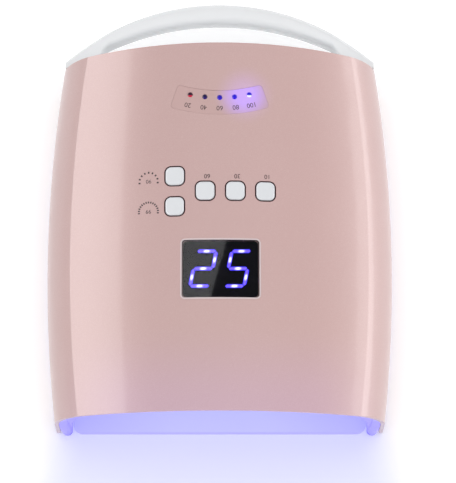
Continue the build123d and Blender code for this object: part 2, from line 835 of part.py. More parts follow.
def make_display_digits():
    lean = math.tan(math.radians(digit_slant))
    bottom = module_top_z() - 0.1 - digit_thickness
    centre_y = display_y + digit_offset_y
    solids = []
    for digit, side in (("2", -1), ("5", 1)):
        for (x, y, direction), half_length in digit_segments(digit):
            reach = half_length - digit_bar_gap
            tip = digit_stroke / 2
            along = [(-reach, 0), (-reach + tip, tip), (reach - tip, tip), (reach, 0)]
            along += [(reach - tip, -tip), (-reach + tip, -tip)]
            if direction == "y":
                along = [(v, u) for u, v in along]
            shifted = [(x + u, y + v) for u, v in along]
            centre_x = display_x + side * digit_pitch / 2
            corners = [Vector(centre_x + u + v * lean, centre_y + v, bottom) for u, v in shifted]
            solids.append(extrude(Face(Wire.make_polygon(corners)), amount=digit_thickness, dir=(0, 0, 1)))
    return group(solids)


def flange_top_z(x, y):
    reach = abs(x) + button_size / 2 + flange_margin
    return crown_z(reach, y, shell_wall) - 0.4


def plunger_top_z():
    return board_top_z + switch_body_height + plunger_height


def make_button(x, y):
    """One key: a cap that follows the crown, a retaining flange under the shell and a stem."""
    top = flange_top_z(x, y)
    cap = tile(x, y, top - 0.2, button_size, button_size, button_corner, 30) & shell_layer(-button_proud)
    flange_size = button_size + 2 * flange_margin
    flange = tile(x, y, top - flange_thickness, flange_size, flange_size, button_corner, flange_thickness)
    stem_height = top - flange_thickness / 2 - plunger_top_z()
    return cap + flange + post(x, y, plunger_top_z(), stem_radius, stem_height)


def make_plunger(x, y):
    return post(x, y, plunger_top_z() - plunger_height - 1.0, plunger_radius, plunger_height + 1.0)


def make_tact_switches():
    solids = []
    for x, y in button_places().values():
        body = Pos(x, y, board_top_z) * Box(switch_size, switch_size, switch_body_height, align=BASE)
        well = 1.0 + button_travel + 0.3
        well_z = board_top_z + switch_body_height - well
        solids.append(body - post(x, y, well_z, plunger_radius + 0.1, well + 1))
    return group(solids)


def make_battery_label():
    label = in_crown(label_prism(0.1), 0.1, label_depth)
    for x, y in dot_places():
        label -= post(x, y, 60, dot_radius + 0.1, 50)
    return label


def make_light_pipes():
    height = 1.2
    pipes = [post(x, y, board_top_z + height, dot_radius, 40) & shell_layer(0.0) for x, y in dot_places()]
    return group(pipes)


def make_battery_leds():
    return group(Pos(x, y, board_top_z) * Box(3.2, 1.6, 1.0, align=BASE) for x, y in dot_places())


# ---- electronics ----------------------------------------------------------------------------
def make_control_board():
    y_range = (board_front_y, board_back_y)
    board = block((-board_half_width, board_half_width), y_range, (board_bottom_z, board_top_z))
    for x in (-board_post_x, board_post_x):
        for y in board_post_y:
            board -= post(x, y, 60, 1.2, 40)
    return board


def make_control_chips():
    controller = Pos(0, -14, board_top_z) * Box(10, 10, 1.6, align=BASE)
    drivers = [Pos(x, 26, board_top_z) * Box(6.2, 5, 1.6, align=BASE) for x in (-10, 10)]
    return group([controller] + drivers)


def make_power_inductors():
    places = [(x, y) for x in (-32, 32) for y in (-20, -6)]
    return group(tile(x, y, board_bottom_z - 5, 9, 9, 2, 5) for x, y in places)


def make_buzzer():
    body = post(-34, -48, board_bottom_z - 6, 5.5, 6)
    return body - post(-34, -48, board_bottom_z - 7, 1.0, 2)


def connector_places():
    return {"battery": (12.0, 58.0), "left": (-40.0, 20.0), "right": (40.0, 20.0), "inlet": (34.0, 58.0),
            "switch": (-34.0, 58.0)}


def make_board_connectors():
    return group(Pos(x, y, board_bottom_z - 6) * Box(2 * socket_half, 2 * socket_depth, 6, align=BASE)
                 for x, y in connector_places().values())


def make_led_board_top():
    return lamp_board(roof_plane(0, lamp_centre_y), 2 * lamp_column_x[-1] + 14, 6)


def make_led_board(side):
    return lamp_board(shoulder_plane(side, lamp_centre_y), 13, 6)


def make_led_strip(side):
    return lamp_board(side_plane(side, lamp_centre_y), 10, 5)


def make_uv_leds():
    base = Box(lamp_size, lamp_size, 0.8, align=BASE)
    dome = Pos(0, 0, 0.6) * Cylinder(lamp_size * 0.42, lamp_height - 0.6, align=BASE)
    dome = fillet(dome.edges().group_by(Axis.Z)[-1], 1.0)
    return group(plane * (base + dome) for plane in lamp_planes())


def make_ir_sensors():
    height = hood_wall + 4
    return group(post(x, sensor_y, hood_height - 1.2, sensor_radius, height) for x in (-sensor_x, sensor_x))


def cell_z(row):
    return holder_floor_z + holder_wall + cell_gap + cell_radius + row * (2 * cell_radius + cell_gap)


def cell_y():
    return hood_back_face_y + 0.5 + holder_wall + cell_gap + cell_radius


def holder_limits():
    """Outer limits of the battery holder, which is open towards the rear cover."""
    half = cell_length + 1.2 + holder_wall
    y_range = (hood_back_face_y + 0.5, cell_y() + cell_radius)
    z_range = (holder_floor_z, cell_z(cell_rows - 1) + cell_radius + cell_gap + holder_wall)
    return (-half, half), y_range, z_range


def make_battery_holder():
    x_range, y_range, z_range = holder_limits()
    holder = block(x_range, y_range, z_range)
    room_x = (x_range[0] + holder_wall, x_range[1] - holder_wall)
    room_z = (z_range[0] + holder_wall, z_range[1] - holder_wall)
    return holder - block(room_x, (y_range[0] + holder_wall, y_range[1] + 1), room_z)


def make_battery_cells():
    cells = []
    for row in range(cell_rows):
        for start in (0.3, -0.3 - cell_length):
            cell = Pos(start, cell_y(), cell_z(row)) * Rot(0, 90, 0)
            cells.append(cell * Cylinder(cell_radius, cell_length, align=BASE))
    return group(cells)


def make_cell_tabs():
    tab_z = (cell_z(0) - 4, cell_z(cell_rows - 1) + 4)
    end = cell_length + 0.3
    ranges = ((-end - 0.3, -end), (-0.3, 0.3), (end, end + 0.3))
    return group(block(x_range, (cell_y() - 4, cell_y() + 4), tab_z) for x_range in ranges)


def protection_top_z():
    return holder_limits()[2][1] + 1.6


def make_protection_board():
    low = holder_limits()[2][1]
    return block((-30, 30), (cell_y() - 8, cell_y() + 7), (low, low + 1.6))


def make_protection_chips():
    top = protection_top_z()
    chips = [Pos(x, cell_y() - 3, top) * Box(5, 4, 1.4, align=BASE) for x in (-18, -10, -2)]
    socket = Box(2 * socket_half, 5, 5, align=BASE)
    sockets = [Pos(x, cell_y() + 3, top) * socket for x in protection_socket_x.values()]
    return group(chips + sockets)


# ---- rear fittings --------------------------------------------------------------------------
def make_dc_jack():
    face_y = back_face_y(fitting_x) - 0.2
    inner_y = back_face_y(fitting_x) - cover_thickness - 0.6
    body_x = (fitting_x - jack_barrel_radius, fitting_x + jack_barrel_radius)
    body = block(body_x, (inner_y - 13, inner_y), (fitting_z - 5.5, fitting_z + 5.5))
    barrel = rod_along_y(fitting_x, inner_y - 1, fitting_z, jack_barrel_radius, face_y - inner_y + 1)
    bore = rod_along_y(fitting_x, face_y - 9.5, fitting_z, jack_bore_radius, 12)
    return body + barrel - bore


def make_dc_jack_pin():
    face_y = back_face_y(fitting_x) - 0.2
    return rod_along_y(fitting_x, face_y - 9.5, fitting_z, jack_pin_radius, 8.5)


def rocker_pivot():
    return (-fitting_x, back_face_y(fitting_x - switch_rim_half_width) + 0.1 - rocker_depth, fitting_z)


def make_switch_body():
    x, pivot_y, z = rocker_pivot()
    seat_y = pivot_y + rocker_depth
    body = block((x - 4.6, x + 4.6), (seat_y - 17, seat_y + 0.2), (z - 6.7, z + 6.7))
    rim_z = (z - switch_rim_half_height, z + switch_rim_half_height)
    body += block((x - switch_rim_half_width, x + switch_rim_half_width), (seat_y, seat_y + 1.4), rim_z)
    half = rocker_width / 2 + 0.2
    reach = rocker_half_length + 1.0
    body -= block((x - half, x + half), (pivot_y - 3.4, seat_y + 5), (z - reach, z + reach))
    axle_hole = Pos(x, pivot_y, z) * Rot(0, 90, 0) * Cylinder(rocker_axle_radius + 0.06, rocker_width + 1.6)
    return body - axle_hole


def make_power_rocker():
    """Two-faced paddle with stub axles, tipped to its on position."""
    x, pivot_y, z = rocker_pivot()
    half = rocker_half_length
    profile = [(1.0, -half), (5.2, -half), (4.2, 0), (5.2, half), (1.0, half), (-2.0, 2.4), (-2.0, -2.4)]
    corners = [Vector(-rocker_width / 2, v, u) for v, u in profile]
    paddle = extrude(Face(Wire.make_polygon(corners)), amount=rocker_width, dir=(1, 0, 0))
    axle = Rot(0, 90, 0) * Cylinder(rocker_axle_radius, rocker_width + 1.2)
    return Pos(x, pivot_y, z) * Rot(-rocker_angle, 0, 0) * (paddle + axle)


# ---- captive wires --------------------------------------------------------------------------
def wire_run(points, radius=0.8):
    """A round wire along straight runs joined by tangent arcs as large as the runs allow."""
    vectors = [Vector(*point) for point in points]
    radii = []
    for before, corner, after in zip(vectors, vectors[1:], vectors[2:]):
        turn = math.radians((corner - before).get_angle(after - corner))
        shorter = min((corner - before).length, (after - corner).length)
        radii.append(0.45 * shorter / math.tan(turn / 2))
    path = FilletPolyline(*points, radius=radii)
    start = Plane(origin=path @ 0, z_dir=path % 0)
    return sweep(start * Circle(radius), path=path.wire())


def make_battery_wires():
    """Two leads from the protection board up to the control board's battery plug."""
    socket_x = protection_socket_x["battery"] + socket_half + wire_end_gap
    socket_z = protection_top_z() + 2.5
    plug_x, plug_y = connector_places()["battery"]
    plug_z = board_bottom_z - 3
    wires = []
    for shift in (-1.0, 1.0):
        y = cell_y() + 3 + shift
        points = [(socket_x, y, socket_z), (socket_x + 3.5, y, socket_z), (socket_x + 8, y - 1.5, socket_z + 1)]
        points.append((plug_x + shift, plug_y + 8, plug_z - 0.3))
        points.append((plug_x + shift, plug_y + socket_depth + wire_end_gap, plug_z))
        wires.append(wire_run(points, 0.7))
    return group(wires)


def make_led_wires():
    wires = []
    for side in (-1, 1):
        plane = shoulder_plane(side, 44)
        pad = plane.origin - plane.z_dir * (lamp_board_thickness + 0.7)
        x = side * (board_half_width - 4)
        points = [(x, 20, board_bottom_z - 3), (x + side * 8, 22, board_bottom_z - 4)]
        points += [(x + side * 20, 32, board_bottom_z - 9), (pad.X - side * 6, 40, pad.Z + 12)]
        points.append((pad.X, 42, pad.Z + 2))
        wires.append(wire_run(points))
    return group(wires)


def make_fitting_wires(side):
    """From the inlet or the power switch, up beside the battery and over it to the protection board."""
    x = side * (holder_limits()[0][1] + 4.6)
    top = protection_top_z() + 3
    end_x = protection_socket_x["inlet" if side > 0 else "switch"] + side * (socket_half + wire_end_gap)
    y = cell_y()
    points = [(side * fitting_x, y, fitting_z + 8), (x, y, fitting_z + 22), (x, y + 0.5, top - 12)]
    points += [(x - side * 5, y + 1.5, top), (x - side * 24, y + 2.5, top + 1), (end_x, y + 3, top - 0.5)]
    return wire_run(points, 1.2)


# ---- write every piece ----------------------------------------------------------------------
def all_pieces():
    pieces = {
        "top_shell": make_top_shell(),
        "front_bezel": make_front_bezel(),
        "reflector_hood": make_reflector_hood(),
        "rear_cover": make_rear_cover(),
        "battery_door": make_battery_door(),
        "handle": make_handle(),
        "base_tray": make_base_tray(),
        "tray_magnets": make_tray_magnets(),
        "catch_plates": make_catch_plates(),
        "rubber_feet": make_rubber_feet(),
        "case_screws": make_case_screws(),
        "door_screws": make_door_screws(),
        "rear_screws": make_rear_screws(),
        "handle_screws": make_handle_screws(),
        "board_screws": make_board_screws(),
        "led_board_screws": make_led_board_screws(),
        "display_window": make_display_window(),
        "window_trim": make_window_trim(),
        "display_module": make_display_module(),
        "display_digits": make_display_digits(),
        "battery_label": make_battery_label(),
        "battery_light_pipes": make_light_pipes(),
        "battery_leds": make_battery_leds(),
        "tact_switches": make_tact_switches(),
        "control_board": make_control_board(),
        "control_chips": make_control_chips(),
        "power_inductors": make_power_inductors(),
        "buzzer": make_buzzer(),
        "board_connectors": make_board_connectors(),
        "led_board_top": make_led_board_top(),
        "uv_leds": make_uv_leds(),
        "ir_sensors": make_ir_sensors(),
        "battery_holder": make_battery_holder(),
        "battery_cells": make_battery_cells(),
        "cell_tabs": make_cell_tabs(),
        "protection_board": make_protection_board(),
        "protection_chips": make_protection_chips(),
        "dc_jack": make_dc_jack(),
        "dc_jack_pin": make_dc_jack_pin(),
        "switch_body": make_switch_body(),
        "power_rocker": make_power_rocker(),
        "battery_wires": make_battery_wires(),
        "led_wires": make_led_wires(),
        "charge_wires": make_fitting_wires(1),
        "switch_wires": make_fitting_wires(-1),
    }
    for name, side in (("left", -1), ("right", 1)):
        pieces["led_board_" + name] = make_led_board(side)
        pieces["led_strip_" + name] = make_led_strip(side)
    for name, (x, y) in button_places().items():
        pieces["button_" + name] = make_button(x, y)
        pieces["plunger_" + name] = make_plunger(x, y)
    return pieces


os.makedirs("parts", exist_ok=True)
for node, shape in all_pieces().items():
    export_step(shape, "parts/" + node + ".step")
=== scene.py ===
"""Looks of a cordless UV LED nail lamp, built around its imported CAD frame.

Laid out as an add-on, with one operator for each group of pieces, and run as a script.
Lengths are in metres, +Z up, the hand opening towards -Y and the handle towards +Y.
"""

import json
import math

import bmesh
import bpy
from bpy.props import FloatProperty, FloatVectorProperty, PointerProperty
from mathutils import Matrix, Vector
from mathutils.bvhtree import BVHTree


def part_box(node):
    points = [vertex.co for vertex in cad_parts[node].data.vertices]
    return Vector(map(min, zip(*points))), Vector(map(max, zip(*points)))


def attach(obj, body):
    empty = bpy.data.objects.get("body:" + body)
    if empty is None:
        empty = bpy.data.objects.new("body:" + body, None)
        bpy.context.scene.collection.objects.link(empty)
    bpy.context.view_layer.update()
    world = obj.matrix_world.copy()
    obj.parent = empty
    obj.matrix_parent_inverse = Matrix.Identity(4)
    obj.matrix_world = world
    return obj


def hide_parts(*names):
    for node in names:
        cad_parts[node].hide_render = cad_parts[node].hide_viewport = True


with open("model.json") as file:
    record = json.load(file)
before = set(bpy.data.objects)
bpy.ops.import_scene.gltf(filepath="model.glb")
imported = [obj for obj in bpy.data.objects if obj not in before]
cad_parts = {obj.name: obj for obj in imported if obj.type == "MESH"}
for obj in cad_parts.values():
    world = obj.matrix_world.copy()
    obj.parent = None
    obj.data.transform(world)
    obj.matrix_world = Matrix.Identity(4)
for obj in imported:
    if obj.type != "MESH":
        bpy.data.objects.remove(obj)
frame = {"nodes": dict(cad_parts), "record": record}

bl_info = {
    "name": "Cordless UV LED Nail Lamp",
    "version": (1, 0, 0),
    "blender": (4, 5, 0),
    "location": "View3D > Sidebar > Nail Lamp",
    "description": "Builds the looks of a cordless two-hand nail lamp around its CAD frame",
    "category": "Object",
}

MM = 0.001
NODES = frame["nodes"]
SLOT_OF = {part["node"]: part["material_slot"] for part in frame["record"]["subparts"]}
KEYS = ("60s", "30s", "10s", "90s", "99s")
SHELL_LOW, SHELL_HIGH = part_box("top_shell")


def key_centre(key):
    low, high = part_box("button_" + key)
    return Vector(((low.x + high.x) / 2, (low.y + high.y) / 2, high.z))


# ---- sizes and colours a user may change ------------------------------------------------------
def colour_property(name, description, default):
    return FloatVectorProperty(name=name, description=description, default=default, subtype="COLOR",
                               size=3, min=0.0, max=1.0)


def length_property(name, description, default):
    return FloatProperty(name=name, description=description, default=default, unit="LENGTH")


def angle_property(name, description, degrees):
    return FloatProperty(name=name, description=description, default=math.radians(degrees), subtype="ANGLE")


def number_property(name, description, default):
    return FloatProperty(name=name, description=description, default=default)


class NAILLAMP_PG_casing(bpy.types.PropertyGroup):
    shell_colour: colour_property("Casing colour", "Dusty pink of the moulded casing", (0.535, 0.355, 0.338))
    white_colour: colour_property("White plastic", "Colour of the handle and rear cover", (0.80, 0.81, 0.82))
    shell_roughness: number_property("Casing roughness", "Gloss of the pink casing", 0.30)
    handle_roundness: number_property("Grip roundness", "Exponent of its section: 2 is an ellipse", 3.2)


class NAILLAMP_PG_keys(bpy.types.PropertyGroup):
    cap_size: length_property("Cap size", "Width of a key's cap", 10.8 * MM)
    cap_corner: length_property("Cap corner", "Corner radius of a key's cap", 3.2 * MM)
    cap_edge: length_property("Cap edge", "Rounding of a cap's top edge", 0.85 * MM)
    cap_dish: length_property("Cap dish", "Hollow in the middle of a cap", 0.12 * MM)
    cap_colour: colour_property("Cap colour", "Colour of the keys", (0.70, 0.715, 0.735))
    print_colour: colour_property("Print colour", "Colour of the printed numbers", (0.05, 0.032, 0.035))


class NAILLAMP_PG_lights(bpy.types.PropertyGroup):
    violet: colour_property("Lamp colour", "Visible colour of the lamps", (0.30, 0.28, 1.0))
    digit_colour: colour_property("Digit colour", "Colour of the display's bars", (0.10, 0.06, 1.0))
    digit_width: length_property("Digit width", "Width of one figure", 13.3 * MM)
    digit_height: length_property("Digit height", "Height of one figure", 22.7 * MM)
    digit_pitch: length_property("Digit pitch", "Distance between figures", 20.1 * MM)
    digit_stroke: length_property("Bar width", "Width of a lit bar", 2.2 * MM)
    digit_slant: angle_property("Digit slant", "Lean of the figures", 11.3)


class NAILLAMP_PG_stage(bpy.types.PropertyGroup):
    view_angle: angle_property("Camera height angle", "Angle of the camera above the floor", 78)
    view_distance: length_property("Camera distance", "From the middle of the casing", 1.3)
    lens: number_property("Lens", "Focal length on a 36 mm sensor, in millimetres", 161.7)
    floor_colour: colour_property("Floor colour", "Colour of the plain floor", (0.93, 0.93, 0.935))
    softbox_glow: number_property("Softbox brightness", "Radiance of the two side lights", 4.0)
    overhead_glow: number_property("Overhead brightness", "Radiance of the light above", 2.75)


class NAILLAMP_PG_settings(bpy.types.PropertyGroup):
    casing: PointerProperty(type=NAILLAMP_PG_casing)
    keys: PointerProperty(type=NAILLAMP_PG_keys)
    lights: PointerProperty(type=NAILLAMP_PG_lights)
    stage: PointerProperty(type=NAILLAMP_PG_stage)


def settings():
    return bpy.context.scene.nail_lamp


# ---- shader maths -------------------------------------------------------------------------------
class Value:
    """A number socket in a node tree; arithmetic on it adds Math nodes."""

    def __init__(self, finish, socket):
        self.finish = finish
        self.socket = socket

    def _math(self, operation, *others):
        node = self.finish.node("ShaderNodeMath", {"operation": operation}, dict(enumerate(others)))
        return Value(self.finish, node.outputs[0])

    def __add__(self, other):
        return self._math("ADD", self, other)

    def __radd__(self, other):
        return self._math("ADD", other, self)

    def __sub__(self, other):
        return self._math("SUBTRACT", self, other)

    def __rsub__(self, other):
        return self._math("SUBTRACT", other, self)

    def __mul__(self, other):
        return self._math("MULTIPLY", self, other)

    def __rmul__(self, other):
        return self._math("MULTIPLY", other, self)

    def __abs__(self):
        return self._math("ABSOLUTE", self)

    def root(self):
        return self._math("SQRT", self)

    def ramp(self, low, high):
        """0 below low, 1 above high, smooth between; high may be the lower of the two."""
        inputs = {"Value": self.socket, "From Min": low, "From Max": high}
        node = self.finish.node("ShaderNodeMapRange", {"interpolation_type": "SMOOTHSTEP"}, inputs)
        return Value(self.finish, node.outputs[0])


class Finish:
    """A procedural material being built on one Principled BSDF."""

    def __init__(self, name, **fixed):
        self.material = bpy.data.materials.new(name)
        self.material.use_nodes = True
        self.tree = self.material.node_tree
        self.shader = self.tree.nodes["Principled BSDF"]
        for socket, value in fixed.items():
            self.shader.inputs[socket.replace("_", " ")].default_value = value
        self._place = None

    def node(self, kind, choices=None, inputs=None):
        node = self.tree.nodes.new(kind)
        for name, choice in (choices or {}).items():
            setattr(node, name, choice)
        for name, value in (inputs or {}).items():
            if isinstance(value, Value):
                value = value.socket
            if isinstance(value, bpy.types.NodeSocket):
                self.tree.links.new(value, node.inputs[name])
            else:
                node.inputs[name].default_value = value
        return node

    def place(self):
        if self._place is None:
            self._place = self.node("ShaderNodeTexCoord").outputs["Object"]
        return self._place

    def axes(self, source=None):
        node = self.node("ShaderNodeSeparateXYZ", inputs={0: source or self.place()})
        return [Value(self, output) for output in node.outputs]

    def noise(self, scale, detail, vector=None):
        inputs = {"Vector": vector or self.place(), "Scale": scale, "Detail": detail}
        return Value(self, self.node("ShaderNodeTexNoise", inputs=inputs).outputs[0])

    def stretched(self, scale):
        """Object coordinates stretched by a factor on each axis."""
        return self.node("ShaderNodeMapping", inputs={"Vector": self.place(), "Scale": scale}).outputs[0]

    def mix(self, factor, first, second):
        """A colour between two colours or colour sockets."""
        inputs = {0: factor}
        for index, colour in ((6, first), (7, second)):
            inputs[index] = colour if isinstance(colour, bpy.types.NodeSocket) else (*colour[:3], 1.0)
        return self.node("ShaderNodeMix", {"data_type": "RGBA"}, inputs).outputs[2]

    def feed(self, socket, source):
        source = source.socket if isinstance(source, Value) else source
        self.tree.links.new(source, self.shader.inputs[socket])

    def bump(self, height, depth):
        inputs = {"Height": height, "Distance": depth, "Strength": 1.0}
        self.feed("Normal", self.node("ShaderNodeBump", inputs=inputs).outputs[0])

    def skin(self, pattern, first, second, gloss=None, spread=0.0, depth=None):
        """Colour, roughness and relief that all follow one pattern."""
        self.feed("Base Color", self.mix(pattern, first, second))
        if gloss is not None:
            self.feed("Roughness", gloss + spread * pattern)
        if depth is not None:
            self.bump(pattern, depth)
        return self


def shade(colour, amount):
    return tuple(min(1.0, channel * amount) for channel in colour[:3])


def moulded(name, colour, roughness, spread, grain, depth, **fixed):
    """Moulded plastic: faint colour drift, uneven gloss and a fine moulded grain."""
    finish = Finish(name, Roughness=roughness, **fixed)
    drift = finish.noise(26.0, 3.0)
    finish.feed("Base Color", finish.mix(drift, shade(colour, 1 - spread), shade(colour, 1 + spread)))
    fine = finish.noise(grain, 2.0)
    finish.feed("Roughness", roughness - 0.04 + 0.08 * finish.noise(110.0, 2.0))
    finish.bump(fine, depth)
    return finish


def plated(name, colour, roughness):
    """Plated or rolled metal with directional streaks and small stains."""
    finish = Finish(name, Metallic=1.0, Roughness=roughness)
    streaks = finish.noise(1.0, 3.0, finish.stretched((40.0, 900.0, 40.0)))
    stains = finish.noise(160.0, 4.0).ramp(0.55, 0.75)
    finish.feed("Base Color", finish.mix(stains, shade(colour, 1.04), shade(colour, 0.8)))
    finish.feed("Roughness", roughness - 0.07 + 0.16 * streaks)
    finish.bump(streaks, 0.003 * MM)
    return finish


def gauge_halo(x, y):
    """How much of the gauge's violet light reaches a place: 1 at its bright end, fading round it."""
    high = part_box("battery_light_pipes")[1]
    along = x - (high.x - 0.004)
    over = y - (high.y - 0.0015)
    return 1.0 - (along * along + over * over).root().ramp(0.001, 0.019)


def pink_finish():
    """Semi-gloss pink shell: pearly drift and orange peel, with painted violet glows over the opening and
    round the gauge.
    """
    casing = settings().casing
    colour = tuple(casing.shell_colour)
    finish = Finish("Casing_Pink_Gloss", Roughness=casing.shell_roughness,
                    Coat_Weight=0.35, Coat_Roughness=0.09, Emission_Strength=1.0)
    drift = finish.noise(14.0, 3.0)
    pearl = finish.noise(2600.0, 1.0).ramp(0.45, 0.7)
    base = finish.mix(drift, shade(colour, 0.985), shade(colour, 1.015))
    base = finish.mix(0.10 * pearl, base, (0.86, 0.74, 0.73))
    x, y, _ = finish.axes()
    # Painted violet glow over the front of the crown, as emission, standing in for the lamps' light.
    inside = 1.0 - abs(x).ramp(0.05, 0.105)
    painted_violet_glow_mask = y.ramp(SHELL_LOW.y + 0.055, SHELL_LOW.y) * inside
    finish.feed("Base Color", base)
    painted_violet_glow_colour = finish.mix(painted_violet_glow_mask, (0, 0, 0), (0.012, 0.008, 0.085))
    # Painted violet glow round the gauge's bright end, also laid on as emission.
    finish.feed("Emission Color", finish.mix(0.45 * gauge_halo(x, y), painted_violet_glow_colour, (0.12, 0.065, 0.52)))
    finish.feed("Roughness", casing.shell_roughness - 0.03 + 0.06 * finish.noise(70.0, 2.0))
    finish.bump(0.7 * finish.noise(420.0, 2.0) + 0.3 * finish.noise(3200.0, 1.0), 0.006 * MM)
    return finish


def lit_white_finish():
    """White bezel plastic with the lamps' violet light painted on: a glow towards the front, brighter higher
    up, and a violet tint in its colour there.
    """
    finish = Finish("Bezel_Lit_White", Roughness=0.32, Emission_Strength=1.0)
    _, y, z = finish.axes()
    # Painted violet glow as emission over the front part, brighter higher up.
    front = y.ramp(SHELL_LOW.y + 0.022, SHELL_LOW.y + 0.004)
    up = z.ramp(-0.004, 0.03)
    glow = finish.mix(up, (0.10, 0.08, 0.50), (0.18, 0.155, 0.70))
    finish.feed("Emission Color", finish.mix(front, (0, 0, 0), glow))
    drift = finish.noise(30.0, 3.0)
    plain = finish.mix(drift, (0.36, 0.35, 0.40), (0.40, 0.39, 0.44))
    # A violet tint painted into the colour over the same front part.
    finish.feed("Base Color", finish.mix(front, plain, (0.13, 0.11, 0.30)))
    finish.feed("Roughness", 0.28 + 0.08 * finish.noise(90.0, 2.0))
    finish.bump(finish.noise(900.0, 2.0), 0.004 * MM)
    return finish


def tray_finish():
    """Satin white tray under the lamps, with their violet light painted on as a glow: brightest in the
    middle, darker at the front edge.
    """
    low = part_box("base_tray")[0]
    finish = Finish("Tray_Lit_White", Roughness=0.38, Emission_Strength=1.0)
    x, y, _ = finish.axes()
    # Painted violet glow as emission: brightest in the middle, darker at the front edge.
    middle = 1.0 - abs(x).ramp(0.02, 0.09)
    edge = y.ramp(low.y + 0.0016, low.y + 0.0006)
    glow = finish.mix(middle, (0.265, 0.26, 0.72), (0.325, 0.33, 0.75))
    finish.feed("Emission Color", finish.mix(edge, glow, (0.25, 0.235, 0.66)))
    grain = finish.noise(1400.0, 2.0)
    finish.feed("Base Color", finish.mix(finish.noise(40.0, 3.0), (0.30, 0.30, 0.34), (0.33, 0.33, 0.37)))
    finish.feed("Roughness", 0.34 + 0.08 * grain)
    finish.bump(grain, 0.010 * MM)
    return finish


def reflector_finish():
    """Glossy white reflector round its lamp holes, with the lamps' violet light painted on: a glow brighter
    higher up and a violet tint in its colour.
    """
    finish = Finish("Reflector_Lit_White", Roughness=0.16, Emission_Strength=1.0, Coat_Weight=0.4)
    # Painted violet glow as emission, brighter higher up.
    deep = finish.axes()[2].ramp(0.01, 0.06)
    finish.feed("Emission Color", finish.mix(deep, (0.14, 0.12, 0.62), (0.22, 0.20, 0.85)))
    # A violet tint painted into the colour.
    finish.feed("Base Color", finish.mix(finish.noise(30.0, 3.0), (0.42, 0.41, 0.56), (0.46, 0.45, 0.60)))
    finish.feed("Roughness", 0.12 + 0.08 * finish.noise(130.0, 2.0))
    finish.bump(finish.noise(500.0, 2.0), 0.005 * MM)
    return finish


def acrylic_finish():
    """Smoked acrylic with faint wiping marks; the display's bars show through it."""
    finish = Finish("Window_Smoked_Acrylic", Roughness=0.03, Alpha=0.55, IOR=1.33)
    swirl = finish.noise(1.0, 4.0, vector=finish.stretched((90.0, 420.0, 90.0)))
    finish.skin(swirl, (0.002, 0.002, 0.003), (0.006, 0.006, 0.009), 0.02, 0.03)
    finish.bump(finish.noise(300.0, 1.0), 0.0006 * MM)
    return finish


def bar_finish():
    """A lit display bar: white-hot over its lamp, violet-blue towards the ends."""
    colour = tuple(settings().lights.digit_colour)
    finish = Finish("Display_Bar_Light", Roughness=0.4, Emission_Strength=22.0)
    uv = finish.node("ShaderNodeUVMap", {"uv_map": "bar"}).outputs[0]
    along, across, _ = finish.axes(uv)
    spot = 1.0 - (abs(along - 0.5) * 2.0).ramp(0.04, 0.50)
    middle = 1.0 - (abs(across - 0.5) * 2.0).ramp(0.30, 0.95)
    grain = finish.noise(1500.0, 1.0)
    glow = finish.mix(middle, (0.010, 0.008, 0.32), shade(colour, 0.55))
    finish.feed("Emission Color", finish.mix(spot * middle, glow, (0.34, 0.33, 0.95)))
    return finish.skin(grain, (0.30, 0.30, 0.5), (0.36, 0.36, 0.55), 0.35, 0.1)


def label_finish():
    """The battery gauge's plate: pink like the shell, with a violet glow and a violet tint painted on round
    its bright end.
    """
    colour = tuple(settings().casing.shell_colour)
    finish = Finish("Gauge_Plate_Pink", Roughness=0.34,
                    Coat_Weight=0.2, Coat_Roughness=0.1, Emission_Strength=1.0)
    x, y, _ = finish.axes()
    halo = gauge_halo(x, y)
    # Painted violet glow round the bright end, as emission.
    finish.feed("Emission Color", finish.mix(halo, (0, 0, 0), (0.16, 0.085, 0.60)))
    near = finish.mix(finish.noise(40.0, 3.0), shade(colour, 0.98), shade(colour, 1.02))
    # A violet tint painted into the colour round the bright end.
    finish.feed("Base Color", finish.mix(0.35 * halo, near, (0.30, 0.22, 0.75)))
    finish.feed("Roughness", 0.30 + 0.08 * finish.noise(90.0, 2.0))
    finish.bump(finish.noise(700.0, 2.0), 0.005 * MM)
    return finish


def dot_finish():
    """Charge dots from red at the low end to bright blue at the full end, with a painted lit near side and
    painted shade towards the far rim.
    """
    finish = Finish("Gauge_Dot_Light", Roughness=0.18, Coat_Weight=0.5, Emission_Strength=1.0)
    colour = finish.node("ShaderNodeAttribute", {"attribute_name": "dot_colour"}).outputs[0]
    rim = finish.node("ShaderNodeAttribute", {"attribute_name": "painted_light_rim_colour"}).outputs[0]
    uv = finish.node("ShaderNodeUVMap", {"uv_map": "dot"}).outputs[0]
    # Painted light and shade: the near side takes the bright colour, the rest stays darker as if shaded in
    # its hole.
    near = finish.axes(uv)[1].ramp(0.46, 0.30)
    speck = finish.noise(2500.0, 1.0)
    finish.feed("Emission Color", finish.mix(near, colour, rim))
    return finish.skin(speck, (0.006, 0.004, 0.02), (0.012, 0.008, 0.03), 0.14, 0.08)


def lens_finish():
    """A lamp's clear silicone dome, glowing violet over its chip."""
    finish = Finish("Lamp_Dome_Violet", Roughness=0.12, Coat_Weight=0.6, Emission_Strength=3.0)
    uv = finish.node("ShaderNodeUVMap", {"uv_map": "lens"}).outputs[0]
    across = finish.axes(uv)[0]
    colour = tuple(settings().lights.violet)
    finish.feed("Emission Color", finish.mix(across.ramp(0.15, 0.8), (0.9, 0.88, 1.0), colour))
    return finish.skin(finish.noise(1800.0, 1.0), (0.72, 0.70, 0.82), (0.8, 0.78, 0.9))


def rubber_finish():
    finish = Finish("Feet_Rubber", Roughness=0.85)
    speckle = finish.noise(2400.0, 3.0)
    return finish.skin(speckle, (0.016, 0.016, 0.017), (0.042, 0.042, 0.044), 0.75, 0.2, 0.03 * MM)


